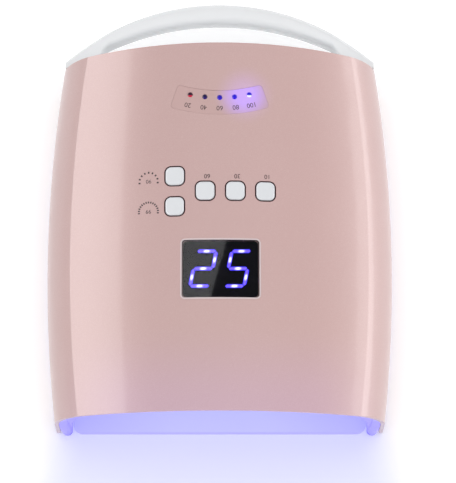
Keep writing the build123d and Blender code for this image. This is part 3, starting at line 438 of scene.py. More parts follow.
def circuit_finish():
    """Green solder mask with copper traces showing as a raised, lighter pattern."""
    finish = Finish("Board_Solder_Mask", Roughness=0.35, Coat_Weight=0.4)
    grid = finish.node("ShaderNodeTexVoronoi", {"feature": "F1", "distance": "CHEBYCHEV"},
                       {"Vector": finish.place(), "Scale": 240.0}).outputs[0]
    trace = Value(finish, grid).ramp(0.42, 0.5)
    return finish.skin(trace, (0.012, 0.085, 0.035), (0.03, 0.17, 0.07), 0.3, 0.15, 0.02 * MM)


def lamp_board_finish():
    finish = Finish("Lamp_Board_White", Roughness=0.4, Emission_Strength=1.0)
    speckle = finish.noise(900.0, 3.0)
    # Painted violet glow as emission, following the speckle, standing in for the lamps' light on the board.
    finish.feed("Emission Color", finish.mix(speckle, (0.05, 0.045, 0.2), (0.06, 0.055, 0.24)))
    return finish.skin(speckle, (0.72, 0.72, 0.74), (0.82, 0.82, 0.83), depth=0.006 * MM)


def wrap_finish():
    """Shrink wrap of the battery cells, with soft creases round it."""
    finish = Finish("Cell_Shrink_Wrap", Roughness=0.3, Coat_Weight=0.5)
    crease = finish.noise(1.0, 3.0, vector=finish.stretched((700.0, 60.0, 60.0)))
    return finish.skin(crease, (0.015, 0.10, 0.26), (0.03, 0.15, 0.36), 0.25, 0.15, 0.02 * MM)


def wire_finish(name, colour):
    finish = Finish(name, Roughness=0.5)
    scuff = finish.noise(600.0, 3.0)
    return finish.skin(scuff, shade(colour, 0.8), shade(colour, 1.15), 0.4, 0.2, 0.01 * MM)


def print_finish():
    """Pad-printed ink, a little uneven."""
    colour = tuple(settings().keys.print_colour)
    finish = Finish("Pad_Print_Grey", Roughness=0.5)
    wear = finish.noise(2200.0, 3.0)
    return finish.skin(wear, shade(colour, 0.9), shade(colour, 1.25), 0.45, 0.15)


def gap_finish():
    """Painted shade in the joint seen round a key: dark maroon with a faint drift."""
    finish = Finish("Key_Joint_Painted_Shade", Roughness=0.9)
    dust = finish.noise(1500.0, 2.0)
    return finish.skin(dust, (0.022, 0.004, 0.007), (0.035, 0.007, 0.011), 0.8, 0.2)


def component_finish():
    """Moulded black component bodies with a fine matt skin."""
    return moulded("Component_Black", (0.022, 0.022, 0.024), 0.5, 0.2, 2200.0, 0.01 * MM)


def white_finish():
    colour = tuple(settings().casing.white_colour)
    return moulded("White_Gloss_Plastic", colour, 0.24, 0.015, 700.0, 0.004 * MM,
                   Coat_Weight=0.3, Coat_Roughness=0.08)


def cap_finish():
    colour = tuple(settings().keys.cap_colour)
    return moulded("Key_Cap_White", colour, 0.30, 0.012, 1500.0, 0.004 * MM, Coat_Weight=0.15)


FINISH_MAKERS = {
    "pink_shell": pink_finish,
    "white_plastic": white_finish,
    "white_reflector": reflector_finish,
    "tray_plastic": tray_finish,
    "button_white": cap_finish,
    "black_acrylic": acrylic_finish,
    "black_plastic": lambda: moulded("Black_Matt_Plastic", (0.018, 0.018, 0.019), 0.45, 0.15, 1500.0,
                                     0.012 * MM),
    "digit_light": bar_finish,
    "clear_plastic": dot_finish,
    "trim_silver": lambda: moulded("Trim_Satin", (0.66, 0.55, 0.55), 0.3, 0.03, 1200.0, 0.004 * MM,
                                   Coat_Weight=0.3),
    "rubber": rubber_finish,
    "steel": lambda: plated("Screw_Zinc_Steel", (0.60, 0.60, 0.62), 0.32),
    "magnet_nickel": lambda: plated("Magnet_Nickel", (0.70, 0.68, 0.66), 0.15),
    "circuit_green": circuit_finish,
    "led_board_white": lamp_board_finish,
    "led_package": lens_finish,
    "cell_wrap": wrap_finish,
    "nickel_strip": lambda: plated("Cell_Tab_Nickel", (0.68, 0.67, 0.64), 0.28),
    "black_component": component_finish,
    "ferrite": lambda: moulded("Inductor_Ferrite", (0.07, 0.07, 0.075), 0.6, 0.25, 1800.0, 0.02 * MM),
    "wire_red": lambda: wire_finish("Wire_Red", (0.42, 0.02, 0.02)),
    "wire_black": lambda: wire_finish("Wire_Black", (0.02, 0.02, 0.022)),
    "brass_contact": lambda: plated("Contact_Brass", (0.72, 0.56, 0.25), 0.2),
    "bezel": lit_white_finish,
    "gauge": label_finish,
    "print": print_finish,
    "gap": gap_finish,
}
FINISHES = {}


def finish_for(name):
    if name not in FINISHES:
        FINISHES[name] = FINISH_MAKERS[name]().material
    return FINISHES[name]


# ---- meshes -------------------------------------------------------------------------------------
def piece_from_mesh(mesh, name, finish, body, replaced, smooth_angle):
    """Makes a finished mesh a piece of the lamp that rides on one body."""
    obj = bpy.data.objects.new(name, mesh)
    bpy.context.scene.collection.objects.link(obj)
    if finish is not None:
        mesh.materials.clear()
        mesh.materials.append(finish_for(finish))
    if smooth_angle is not None:
        mesh.shade_smooth()
        mesh.set_sharp_from_angle(angle=math.radians(smooth_angle))
    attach(obj, body)
    if replaced:
        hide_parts(*replaced)
    return obj


def loft(rings, caps=True):
    """Vertices and faces of a skin over rings of equal count, each ring a list of points."""
    count = len(rings[0])
    points = [tuple(point) for ring in rings for point in ring]
    faces = []
    for row in range(len(rings) - 1):
        for index in range(count):
            after = (index + 1) % count
            low, high = row * count, (row + 1) * count
            faces.append((low + index, low + after, high + after, high + index))
    if caps:
        last = (len(rings) - 1) * count
        faces.append(tuple(reversed(range(count))))
        faces.append(tuple(range(last, last + count)))
    return points, faces


def mesh_from(name, solids, layers=None):
    """One mesh of several (points, faces) solids, normals outwards. layers maps a UV name to one list of
    (u, v) for each point."""
    mesh = bpy.data.meshes.new(name)
    points, faces = [], []
    for solid_points, solid_faces in solids:
        start = len(points)
        points += solid_points
        faces += [tuple(start + index for index in face) for face in solid_faces]
    mesh.from_pydata(points, [], faces)
    mesh.update()
    for layer, values in (layers or {}).items():
        uv = mesh.uv_layers.new(name=layer)
        for loop in mesh.loops:
            uv.data[loop.index].uv = values[loop.vertex_index]
    edit = bmesh.new()
    edit.from_mesh(mesh)
    bmesh.ops.recalc_face_normals(edit, faces=edit.faces)
    edit.to_mesh(mesh)
    edit.free()
    return mesh


def circle(radius, count):
    """Points round a circle, counter-clockwise from its right side."""
    turns = [2 * math.pi * step / count for step in range(count)]
    return [(radius * math.cos(turn), radius * math.sin(turn)) for turn in turns]


def onto_circle(points, radius):
    """The points moved straight in or out onto a circle round the origin."""
    return [(radius * x / math.hypot(x, y), radius * y / math.hypot(x, y)) for x, y in points]


def rounded_rectangle(half_x, half_y, corner, steps=8):
    """Points round a rounded rectangle, counter-clockwise from its right side."""
    points = []
    for quarter, (sign_x, sign_y) in enumerate(((1, 1), (-1, 1), (-1, -1), (1, -1))):
        for step in range(steps + 1):
            angle = math.radians(90 * quarter + 90 * step / steps)
            points.append((sign_x * (half_x - corner) + corner * math.cos(angle),
                           sign_y * (half_y - corner) + corner * math.sin(angle)))
    return points


CROWN_PROBE_X = 1.7 * 0.034


class Crown:
    """The casing's crown, read from the CAD shell: an arc in section, level along its length."""

    def __init__(self):
        shell = NODES["top_shell"].data
        points = [vertex.co.copy() for vertex in shell.vertices]
        faces = [tuple(face.vertices) for face in shell.polygons]
        self.tree = BVHTree.FromPolygons(points, faces)
        self.top = SHELL_HIGH.z
        self.known = {}

    def radius(self, y):
        key = round(y, 5)
        if key not in self.known:
            hit = self.tree.ray_cast(Vector((CROWN_PROBE_X, y, 1.0)), Vector((0, 0, -1)))[0]
            drop = self.top - hit.z
            self.known[key] = (CROWN_PROBE_X * CROWN_PROBE_X + drop * drop) / (2 * drop)
        return self.known[key]

    def height(self, x, y):
        radius = self.radius(y)
        return self.top - radius + math.sqrt(radius * radius - x * x)


# ---- Geometry Nodes -----------------------------------------------------------------------------
class Tree:
    """A Geometry Nodes tree with named inputs."""

    def __init__(self, name):
        self.tree = bpy.data.node_groups.new(name, "GeometryNodeTree")
        self.tree.interface.new_socket("Geometry", in_out="INPUT", socket_type="NodeSocketGeometry")
        self.tree.interface.new_socket("Geometry", in_out="OUTPUT", socket_type="NodeSocketGeometry")
        self.entry = self.tree.nodes.new("NodeGroupInput")
        self.exit = self.tree.nodes.new("NodeGroupOutput")

    def size(self, name, kind, default):
        socket = self.tree.interface.new_socket(name, in_out="INPUT", socket_type=kind)
        if default is not None:
            socket.default_value = default
        return self.entry.outputs[name]

    def node(self, kind, choices=None, inputs=None):
        node = self.tree.nodes.new(kind)
        for name, choice in (choices or {}).items():
            setattr(node, name, choice)
        for name, value in (inputs or {}).items():
            if isinstance(value, bpy.types.NodeSocket):
                self.tree.links.new(value, node.inputs[name])
            else:
                node.inputs[name].default_value = value
        return node

    def end(self, instances, material):
        """Realizes the instances, sets their material and joins them to the output."""
        real = self.node("GeometryNodeRealizeInstances", inputs={"Geometry": instances}).outputs[0]
        painted = self.node("GeometryNodeSetMaterial", inputs={"Geometry": real, "Material": material})
        self.tree.links.new(painted.outputs[0], self.exit.inputs[0])

    def identifier(self, name):
        for item in self.tree.interface.items_tree:
            if item.name == name and item.in_out == "INPUT":
                return item.identifier
        raise KeyError(name)


def scatter_tree():
    """Puts one shape on every point of the input mesh, its +Z turned along the point's facing."""
    tree = Tree("Shape on points")
    shape = tree.size("Shape", "NodeSocketObject", None)
    scale = tree.size("Scale", "NodeSocketFloat", 1.0)
    material = tree.size("Material", "NodeSocketMaterial", None)
    facing = tree.node("GeometryNodeInputNamedAttribute", {"data_type": "FLOAT_VECTOR"}, {"Name": "facing"})
    turn = tree.node("FunctionNodeAlignRotationToVector", {"axis": "Z"}, {"Vector": facing.outputs[0]})
    source = tree.node("GeometryNodeObjectInfo", {"transform_space": "ORIGINAL"}, {"Object": shape})
    cloud = tree.node("GeometryNodeMeshToPoints", inputs={"Mesh": tree.entry.outputs["Geometry"]})
    copies = tree.node("GeometryNodeInstanceOnPoints",
                       inputs={"Points": cloud.outputs[0], "Instance": source.outputs["Geometry"],
                               "Rotation": turn.outputs[0], "Scale": scale})
    tree.end(copies.outputs[0], material)
    return tree


def arc_tree():
    """Short dashes spread along an arc round the origin, each turned along the arc."""
    tree = Tree("Dashes on an arc")
    radius = tree.size("Radius", "NodeSocketFloat", 5 * MM)
    start = tree.size("Start", "NodeSocketFloat", 0.0)
    sweep = tree.size("Sweep", "NodeSocketFloat", math.pi)
    count = tree.size("Count", "NodeSocketInt", 9)
    size = tree.size("Dash", "NodeSocketVector", (0.6 * MM, 1.0 * MM, 0.02 * MM))
    material = tree.size("Material", "NodeSocketMaterial", None)
    arc = tree.node("GeometryNodeCurveArc", {"mode": "RADIUS"},
                    {"Radius": radius, "Start Angle": start, "Sweep Angle": sweep, "Resolution": 64})
    spread = tree.node("GeometryNodeResampleCurve", inputs={"Curve": arc.outputs[0], "Count": count})
    tangent = tree.node("GeometryNodeInputTangent")
    turn = tree.node("FunctionNodeAlignRotationToVector", {"axis": "X"}, {"Vector": tangent.outputs[0]})
    dash = tree.node("GeometryNodeMeshCube",
                     inputs={"Size": size, "Vertices X": 2, "Vertices Y": 3, "Vertices Z": 2})
    copies = tree.node("GeometryNodeInstanceOnPoints",
                       inputs={"Points": spread.outputs[0], "Instance": dash.outputs[0],
                               "Rotation": turn.outputs[0]})
    tree.end(copies.outputs[0], material)
    return tree


def grown(name, mesh, tree, values):
    """The plain mesh that a tree makes of a mesh, with its inputs set by identifier."""
    carrier = bpy.data.objects.new(name + "_carrier", mesh)
    bpy.context.scene.collection.objects.link(carrier)
    modifier = carrier.modifiers.new("grow", "NODES")
    modifier.node_group = tree.tree
    for label, value in values.items():
        modifier[tree.identifier(label)] = value
    view = bpy.context.evaluated_depsgraph_get()
    result = bpy.data.meshes.new_from_object(carrier.evaluated_get(view), depsgraph=view)
    carrier.modifiers.clear()
    bpy.data.objects.remove(carrier)
    return result


def islands(node):
    """Centre, lowest and highest corner of each separate solid of a CAD node."""
    edit = bmesh.new()
    edit.from_mesh(NODES[node].data)
    bmesh.ops.remove_doubles(edit, verts=edit.verts, dist=0.002 * MM)
    seen, found = set(), []
    edit.verts.ensure_lookup_table()
    for vertex in edit.verts:
        if vertex.index in seen:
            continue
        stack, group = [vertex], []
        seen.add(vertex.index)
        while stack:
            current = stack.pop()
            group.append(current.co.copy())
            for edge in current.link_edges:
                other = edge.other_vert(current)
                if other.index not in seen:
                    seen.add(other.index)
                    stack.append(other)
        low = Vector([min(point[axis] for point in group) for axis in range(3)])
        high = Vector([max(point[axis] for point in group) for axis in range(3)])
        found.append(((low + high) / 2, low, high))
    edit.free()
    return found


def facing_points(name, places):
    """A mesh of loose points, each with a facing vector."""
    mesh = bpy.data.meshes.new(name)
    mesh.from_pydata([tuple(point) for point, _ in places], [], [])
    attribute = mesh.attributes.new("facing", "FLOAT_VECTOR", "POINT")
    for index, (_, facing) in enumerate(places):
        attribute.data[index].vector = facing
    return mesh


def hidden_shape(name, mesh):
    """A source shape for instances; it is removed once they are made."""
    obj = bpy.data.objects.new(name, mesh)
    bpy.context.scene.collection.objects.link(obj)
    return obj


# ---- pieces -------------------------------------------------------------------------------------
def dress_nodes():
    """Gives every CAD node the finish of its slot; a few nodes with a painted glow have their own."""
    own = {"front_bezel": "bezel", "battery_label": "gauge"}
    for name, obj in NODES.items():
        material = finish_for(own.get(name, SLOT_OF[name]))
        if not obj.material_slots:
            obj.data.materials.append(material)
        for slot in obj.material_slots:
            slot.material = material


def make_grip():
    """The carrying handle: an oval section between two arcs of different centres, flared into its roots."""
    low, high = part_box("handle")
    crest = high.y
    outer_radius, inner_radius, band = 136 * MM, 157 * MM, 12 * MM
    back_radius, back_y = 1.0, SHELL_HIGH.y
    root_start, root_length, root_squareness = 68 * MM, 10 * MM, 0.6
    exponent = 2.0 / settings().casing.handle_roundness
    half_height = (high.z - low.z) / 2
    middle_z = (high.z + low.z) / 2
    side = high.x
    stations, ring_count = 96, 48
    rings = []
    for station in range(stations + 1):
        x = side * math.sin(math.pi / 2 * (2 * station / stations - 1))
        outer_y = crest - outer_radius + math.sqrt(outer_radius ** 2 - x * x)
        inner_y = crest - band - inner_radius + math.sqrt(inner_radius ** 2 - x * x)
        back = back_y - back_radius + math.sqrt(back_radius ** 2 - x * x)
        root = min(1.0, max(0.0, (abs(x) - root_start) / root_length))
        root = root * root * (3 - 2 * root)
        inner_y = max(back, inner_y + (back - inner_y) * root)
        centre_y = (outer_y + inner_y) / 2
        half_width = (outer_y - inner_y) / 2
        near_shell = exponent * (1 - root_squareness * root)
        ring = []
        for step in range(ring_count):
            angle = 2 * math.pi * step / ring_count
            cosine, sine = math.cos(angle), math.sin(angle)
            power = exponent if cosine > 0 else near_shell
            reach = math.copysign(abs(cosine) ** power, cosine)
            rise = math.copysign(abs(sine) ** power, sine)
            ring.append((x, centre_y + half_width * reach, middle_z + half_height * rise))
        rings.append(ring)
    mesh = mesh_from("carry_grip", [loft(rings)])
    piece_from_mesh(mesh, "carry_grip", "white_plastic", "casing", ("handle",), 50.0)


def cap_rings(key, crown):
    """Rings of one key from the middle of its cap's top down to its stem."""
    keys = settings().keys
    centre = key_centre(key)
    node_low, node_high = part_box("button_" + key)
    half, corner, edge = keys.cap_size / 2, keys.cap_corner, keys.cap_edge
    proud, stem_radius = 0.7 * MM, 2 * MM
    flange_drop, flange_thickness = 2.8 * MM, 1.2 * MM
    flange_half = (node_high.x - node_low.x) / 2
    x0, y0 = centre.x, centre.y

    def outline(inset):
        return rounded_rectangle(half - inset, half - inset, corner - inset)

    def draped(points, drop):
        return [(x0 + px, y0 + py, crown.height(x0 + px, y0 + py) + proud - drop) for px, py in points]

    def level(points, z):
        return [(x0 + px, y0 + py, z) for px, py in points]

    def shrunk(factor):
        return [(px * factor, py * factor) for px, py in outline(edge)]

    rings = [draped(shrunk(factor), keys.cap_dish * (1 - factor * factor))
             for factor in (0.04, 0.3, 0.55, 0.8, 0.93)]
    for step in range(6):
        angle = math.radians(90 - 18 * step)
        rings.append(draped(outline(edge * (1 - math.cos(angle))), edge * (1 - math.sin(angle))))
    seat = crown.height(abs(x0) + flange_half, y0) - flange_drop
    under = seat - flange_thickness
    flange = rounded_rectangle(flange_half, flange_half, corner)
    stem = onto_circle(flange, stem_radius)
    lower = ((outline(0), seat), (flange, seat), (flange, under), (stem, under), (stem, node_low.z))
    return rings + [level(points, z) for points, z in lower]


def make_keys():
    crown = Crown()
    for key in KEYS:
        name = "key_cap_" + key
        mesh = mesh_from(name, [loft(cap_rings(key, crown))])
        piece_from_mesh(mesh, name, "button_white", "key_" + key, ("button_" + key,), 40.0)


def make_gap_painted_shade():
    """Painted shade in the joint round each key: a thin dark sheet lying on the opening's wall under the
    crown.
    """
    crown = Crown()
    keys = settings().keys
    inner, outer, top, bottom = 0.12, 0.72, 0.35, 1.5
    solids = []
    for key in KEYS:
        centre = key_centre(key)
        rings = []
        for grow, drop in ((inner, top), (outer, top), (outer, bottom), (inner, bottom)):
            half = keys.cap_size / 2 + grow * MM
            ring = rounded_rectangle(half, half, keys.cap_corner + grow * MM)
            rings.append([(centre.x + x, centre.y + y, crown.height(centre.x + x, centre.y + y) - drop * MM)
                          for x, y in ring])
        solids.append(loft(rings + rings[:1], caps=False))
    mesh = mesh_from("key_gap_liners", solids)
    piece_from_mesh(mesh, "key_gap_liners", "gap", "casing", (), 40.0)


def figure_bars(figure):
    """Centre, half length and direction of the lit bars of one figure, upright."""
    lights = settings().lights
    half_w = (lights.digit_width - lights.digit_stroke) / 2
    half_h = (lights.digit_height - lights.digit_stroke) / 4
    bars = {
        "a": (0, 2 * half_h, "x"), "b": (half_w, half_h, "y"), "c": (half_w, -half_h, "y"),
        "d": (0, -2 * half_h, "x"), "e": (-half_w, -half_h, "y"), "f": (-half_w, half_h, "y"),
        "g": (0, 0, "x"),
    }
    lit = {"2": "abged", "5": "afgcd"}[figure]
    return [(bars[bar], half_w if bars[bar][2] == "x" else half_h) for bar in lit]


def make_display():
    """Lit bars with rounded, tapering ends; each has its own UVs for the hot spot over its lamp."""
    lights = settings().lights
    low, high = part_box("display_digits")
    window_low, window_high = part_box("display_window")
    middle_x = (window_low.x + window_high.x) / 2
    middle_y = (low.y + high.y) / 2
    lean = math.tan(lights.digit_slant)
    top, bottom = high.z, low.z
    solids, uvs = [], []
    half_width = lights.digit_stroke / 2
    end_gap, stations = 0.4 * MM, 24
    section = ((-1, 0), (-0.86, 0.7), (-0.5, 0.95), (0, 1), (0.5, 0.95), (0.86, 0.7), (1, 0),
               (0.9, -0.6), (0, -0.7), (-0.9, -0.6))
    for figure, side in (("2", -1), ("5", 1)):
        for (bar_x, bar_y, direction), half_length in figure_bars(figure):
            reach = half_length - end_gap
            rings = []
            for step in range(stations + 1):
                along = step / stations
                position = (2 * along - 1) * reach
                taper = min(1.0, 0.12 + (reach - abs(position)) / (0.95 * half_width))
                width = half_width * math.sin(min(1.0, taper) * math.pi / 2)
                ring = []
                for across, rise in section:
                    u, v = position, across * width
                    if direction == "y":
                        u, v = v, u
                    local_x, local_y = bar_x + u, bar_y + v
                    x = middle_x + side * lights.digit_pitch / 2 + local_x + local_y * lean
                    z = (top + bottom) / 2 + rise * (top - bottom) / 2
                    ring.append((x, middle_y + local_y, z))
                    uvs.append((along, 0.5 + across / 2))
                rings.append(ring)
            solids.append(loft(rings))
    mesh = mesh_from("display_bars", solids, {"bar": uvs})
    piece_from_mesh(mesh, "display_bars", "digit_light", "casing", ("display_digits",), 60.0)


# Each dot: its own colour, darker, which shows as painted shade, then the bright colour painted on its near
# rim as light.
GAUGE_COLOURS = (
    ((0.030, 0.0, 0.002), (0.55, 0.010, 0.030)),
    ((0.006, 0.0, 0.045), (0.02, 0.0, 0.13)),
    ((0.012, 0.0, 0.42), (0.03, 0.0, 0.55)),
    ((0.010, 0.0, 0.62), (0.03, 0.0, 0.75)),
    ((0.012, 0.006, 0.62), (0.95, 0.95, 1.0)),
)


def make_gauge_dots():
    """Five domed light pipes; each dot carries its own colour and the colour of its painted lit near rim."""
    solids, uvs, colours, rims = [], [], [], []
    places = sorted(islands("battery_light_pipes"), key=lambda item: item[0].x)
    profile = [(0.05, 0.0), (0.35, -0.02), (0.62, -0.07), (0.82, -0.15), (0.94, -0.27), (1.0, -0.45),
               (1.0, -1.4), (0.97, -1.6)]
    for (centre, low, high), (colour, rim) in zip(places, GAUGE_COLOURS):
        radius = (high.x - low.x) / 2
        rings = []
        for share, drop in profile:
            ring = []
            for dx, dy in circle(share, 32):
                ring.append((centre.x + radius * dx, centre.y + radius * dy, high.z + drop * radius))
                uvs.append((0.5 + dx / 2, 0.5 + dy / 2))
                colours.append(colour)
                rims.append(rim)
            rings.append(ring)
        solids.append(loft(rings))
    mesh = mesh_from("gauge_dots", solids, {"dot": uvs})
    for name, values in (("dot_colour", colours), ("painted_light_rim_colour", rims)):
        attribute = mesh.color_attributes.new(name, "FLOAT_COLOR", "POINT")
        for index, value in enumerate(values):
            attribute.data[index].color = (*value, 1.0)
    piece_from_mesh(mesh, "gauge_dots", "clear_plastic", "casing",
                    ("battery_light_pipes",), 60.0)


def draped_marks(name, meshes, crown, lift):
    """Joins flat marks, already placed in plan, and lays them a little above the crown."""
    edit = bmesh.new()
    for mesh in meshes:
        edit.from_mesh(mesh)
    for vertex in edit.verts:
        vertex.co.z += crown.height(vertex.co.x, vertex.co.y) + lift
    joined = bpy.data.meshes.new(name)
    edit.to_mesh(joined)
    edit.free()
    piece_from_mesh(joined, name, "print", "casing", (), None)


def number_mesh(text, size, place, turn):
    """A number as a thin flat mesh, centred on a point in plan and turned about it."""
    curve = bpy.data.curves.new("number_" + text, "FONT")
    curve.body = text
    curve.size = size
    curve.align_x = "CENTER"
    curve.align_y = "CENTER"
    curve.extrude = 0.008 * MM
    obj = bpy.data.objects.new("number_" + text, curve)
    bpy.context.scene.collection.objects.link(obj)
    view = bpy.context.evaluated_depsgraph_get()
    mesh = bpy.data.meshes.new_from_object(obj.evaluated_get(view), depsgraph=view)
    bpy.data.objects.remove(obj)
    mesh.transform(Matrix.Translation(Vector((*place, 0.0))) @ Matrix.Rotation(turn, 4, "Z"))
    return mesh


def make_numbers():
    """Printed numbers, read from the handle side, and the dashes over the two mode numbers."""
    crown = Crown()
    half_turn = math.pi
    timer_offset, mode_offset, dash_drop = (1.1 * MM, 8.8 * MM), (-15.3 * MM, -2.5 * MM), 0.2 * MM
    marks = []
    for key in ("60s", "30s", "10s"):
        centre = key_centre(key)
        spot = (centre.x + timer_offset[0], centre.y + timer_offset[1])
        marks.append(number_mesh(key[:2], 3.7 * MM, spot, half_turn))
    tree = arc_tree()
    for key, count, dash, reach in (("90s", 9, 0.9, 5.4), ("99s", 15, 0.75, 5.6)):
        centre = key_centre(key)
        spot = (centre.x + mode_offset[0], centre.y + mode_offset[1])
        marks.append(number_mesh(key[:2], 3.3 * MM, spot, half_turn))
        start = bpy.data.meshes.new("dash_seed")
        start.from_pydata([(0, 0, 0)], [], [])
        dashes = grown("dashes_" + key, start, tree, {
            "Radius": reach * MM, "Start": math.radians(-8), "Sweep": math.radians(196), "Count": count,
            "Dash": (dash * MM, 1.15 * MM, 0.016 * MM), "Material": finish_for("print")})
        dashes.transform(Matrix.Translation(Vector((spot[0], spot[1] - dash_drop, 0.0))))
        marks.append(dashes)
    draped_marks("printed_numbers", marks, crown, 0.05 * MM)


def make_gauge_numbers():
    """Charge levels along the gauge, on its plate, read from the handle side."""
    crown = Crown()
    places = sorted(islands("battery_light_pipes"), key=lambda item: item[0].x)
    outer, inner = places[-1][0], places[2][0]
    span = outer.y - inner.y
    orbit = (outer.x ** 2 + span ** 2) / (2 * span)
    centre_y = inner.y + orbit
    below_dots = 6.3 * MM
    marks = []
    for (centre, _, _), level in zip(places, ("20", "40", "60", "80", "100")):
        angle = math.atan2(centre.x, centre_y - centre.y)
        reach = orbit + below_dots
        spot = (reach * math.sin(angle), centre_y - reach * math.cos(angle))
        marks.append(number_mesh(level, 3.9 * MM, spot, math.pi + angle))
    draped_marks("gauge_numbers", marks, crown, -0.07 * MM)


def screw_mesh(head_radius, head_height, shank_radius, shank_length):
    """A pan-head screw along +Z, its head's bearing face at the origin, with a cross recess."""
    profile = [(shank_radius * 0.3, -shank_length), (shank_radius, -shank_length + shank_radius),
               (shank_radius, 0.0), (head_radius * 0.97, 0.0), (head_radius, head_height * 0.18),
               (head_radius, head_height * 0.55), (head_radius * 0.93, head_height * 0.80),
               (head_radius * 0.75, head_height * 0.95), (head_radius * 0.55, head_height),
               (0.05 * MM, head_height)]
    rings = [[(x, y, z) for x, y in circle(radius, 32)] for radius, z in profile]
    screw = hidden_shape("screw_blank", mesh_from("screw_blank", [loft(rings)]))
    arm, slot, deep = 0.62 * head_radius, 0.13 * head_radius, 0.5 * head_height
    cross = [(arm, slot), (slot, slot), (slot, arm), (-slot, arm), (-slot, slot), (-arm, slot),
             (-arm, -slot), (-slot, -slot), (-slot, -arm), (slot, -arm), (slot, -slot), (arm, -slot)]
    levels = ((0.45, head_height - deep), (1.0, head_height * 1.02), (1.0, head_height * 1.5))
    cutter_rings = [[(x * grow, y * grow, z) for x, y in cross] for grow, z in levels]
    cutter = hidden_shape("cross_cutter", mesh_from("cross_cutter", [loft(cutter_rings)]))
    cut = screw.modifiers.new("recess", "BOOLEAN")
    cut.operation = "DIFFERENCE"
    cut.solver = "EXACT"
    cut.object = cutter
    view = bpy.context.evaluated_depsgraph_get()
    mesh = bpy.data.meshes.new_from_object(screw.evaluated_get(view), depsgraph=view)
    bpy.data.objects.remove(screw)
    bpy.data.objects.remove(cutter)
    return mesh


def make_screws():
    """Cross-recess screws in place of the plain ones that can be seen from outside."""
    tree = scatter_tree()
    sizes = {"rear_screws": ((0, 1, 0), 8.8), "case_screws": ((0, 0, -1), 13.8),
             "door_screws": ((0, 0, -1), 9.8)}
    head_radius, head_height, shank_radius = 2.8 * MM, 1.8 * MM, 1.5 * MM
    for node, (facing, shank) in sizes.items():
        places = []
        for centre, low, high in islands(node):
            if facing[1]:
                seat = Vector((centre.x, high.y - head_height, centre.z))
            else:
                seat = Vector((centre.x, centre.y, low.z + head_height))
            places.append((seat, facing))
        shape = hidden_shape("screw_shape", screw_mesh(head_radius, head_height, shank_radius, shank * MM))
        mesh = grown(node, facing_points(node + "_places", places), tree,
                     {"Shape": shape, "Scale": 1.0, "Material": finish_for("steel")})
        bpy.data.objects.remove(shape)
        piece_from_mesh(mesh, "cross_" + node, None, "casing", (node,), 35.0)


def make_lamp_domes():
    """Thirty-six lamp packages: a square base with a clear dome, instanced on the lamp places."""
    base_half, base_high, dome_radius, dome_high = 2.5 * MM, 0.8 * MM, 2.1 * MM, 2.2 * MM
    rings, uvs = [], []
    outline = rounded_rectangle(base_half, base_half, 0.5 * MM, 2)
    for inset, z in ((0.1, 0.0), (0.0, 0.1), (0.0, 0.7), (0.15, 0.8)):
        share = 1 - inset * MM / base_half
        rings.append([(x * share, y * share, z * MM) for x, y in outline])
    for step in range(5):
        angle = math.radians(90 * step / 5)
        radius, z = dome_radius * math.cos(angle), base_high + (dome_high - base_high) * math.sin(angle)
        rings.append([(x, y, z) for x, y in onto_circle(outline, radius)])
    for ring in rings:
        uvs += [(min(1.0, math.hypot(x, y) / dome_radius), 0.5) for x, y, _ in ring]
    shape = hidden_shape("lamp_shape", mesh_from("lamp_shape", [loft(rings)], {"lens": uvs}))
    middle_half, side_top = 0.03, 0.03
    places = []
    for centre, *_ in islands("uv_leds"):
        side = math.copysign(1.0, centre.x)
        if abs(centre.x) < middle_half:
            angle = 0.0
        elif centre.z < side_top:
            angle = math.radians(87.5)
        else:
            angle = math.radians(50)
        facing = Vector((-side * math.sin(angle), 0, -math.cos(angle)))
        places.append((centre - facing * dome_high / 2, facing))
    mesh = grown("lamp_domes", facing_points("lamp_places", places), scatter_tree(),
                 {"Shape": shape, "Scale": 1.0, "Material": finish_for("led_package")})
    bpy.data.objects.remove(shape)
    piece_from_mesh(mesh, "lamp_domes", None, "casing", ("uv_leds",), 45.0)


# ---- stage --------------------------------------------------------------------------------------
def make_floor():
    """A plain pale floor, with a pool of the lamp's violet light painted into its colour in front of the
    opening.
    """
    stage = settings().stage
    half = 6.0
    rings = [[(x, y, 0.0) for x, y in circle(reach, 64)] for reach in (0.02, 0.3, half)]
    points, faces = loft(rings, caps=False)
    faces.append(tuple(range(64)))
    mesh = bpy.data.meshes.new("floor")
    mesh.from_pydata(points, [], faces)
    floor = bpy.data.objects.new("floor", mesh)
    bpy.context.scene.collection.objects.link(floor)
    finish = Finish("Floor_Pale", Roughness=0.55, Emission_Strength=0.2)
    x, y, z = finish.axes()
    # Painted violet light: a pool mixed into the floor's colour in front of the opening, widening as it goes.
    ahead = SHELL_LOW.y - y
    width = abs(x) - 0.35 * ahead
    across = 1.0 - width.ramp(0.078, 0.118)
    fade = ahead.ramp(-0.03, 0.006) * (1.0 - ahead.ramp(0.06, 0.30))
    painted_violet_pool = across * fade
    mottle = finish.noise(3.0, 2.0)
    plain = finish.mix(mottle, shade(stage.floor_colour, 0.995), shade(stage.floor_colour, 1.0))
    finish.feed("Base Color", finish.mix(painted_violet_pool, plain, (0.655, 0.67, 0.93)))
    finish.feed("Roughness", 0.5 + 0.1 * mottle)
    mesh.materials.append(finish.material)


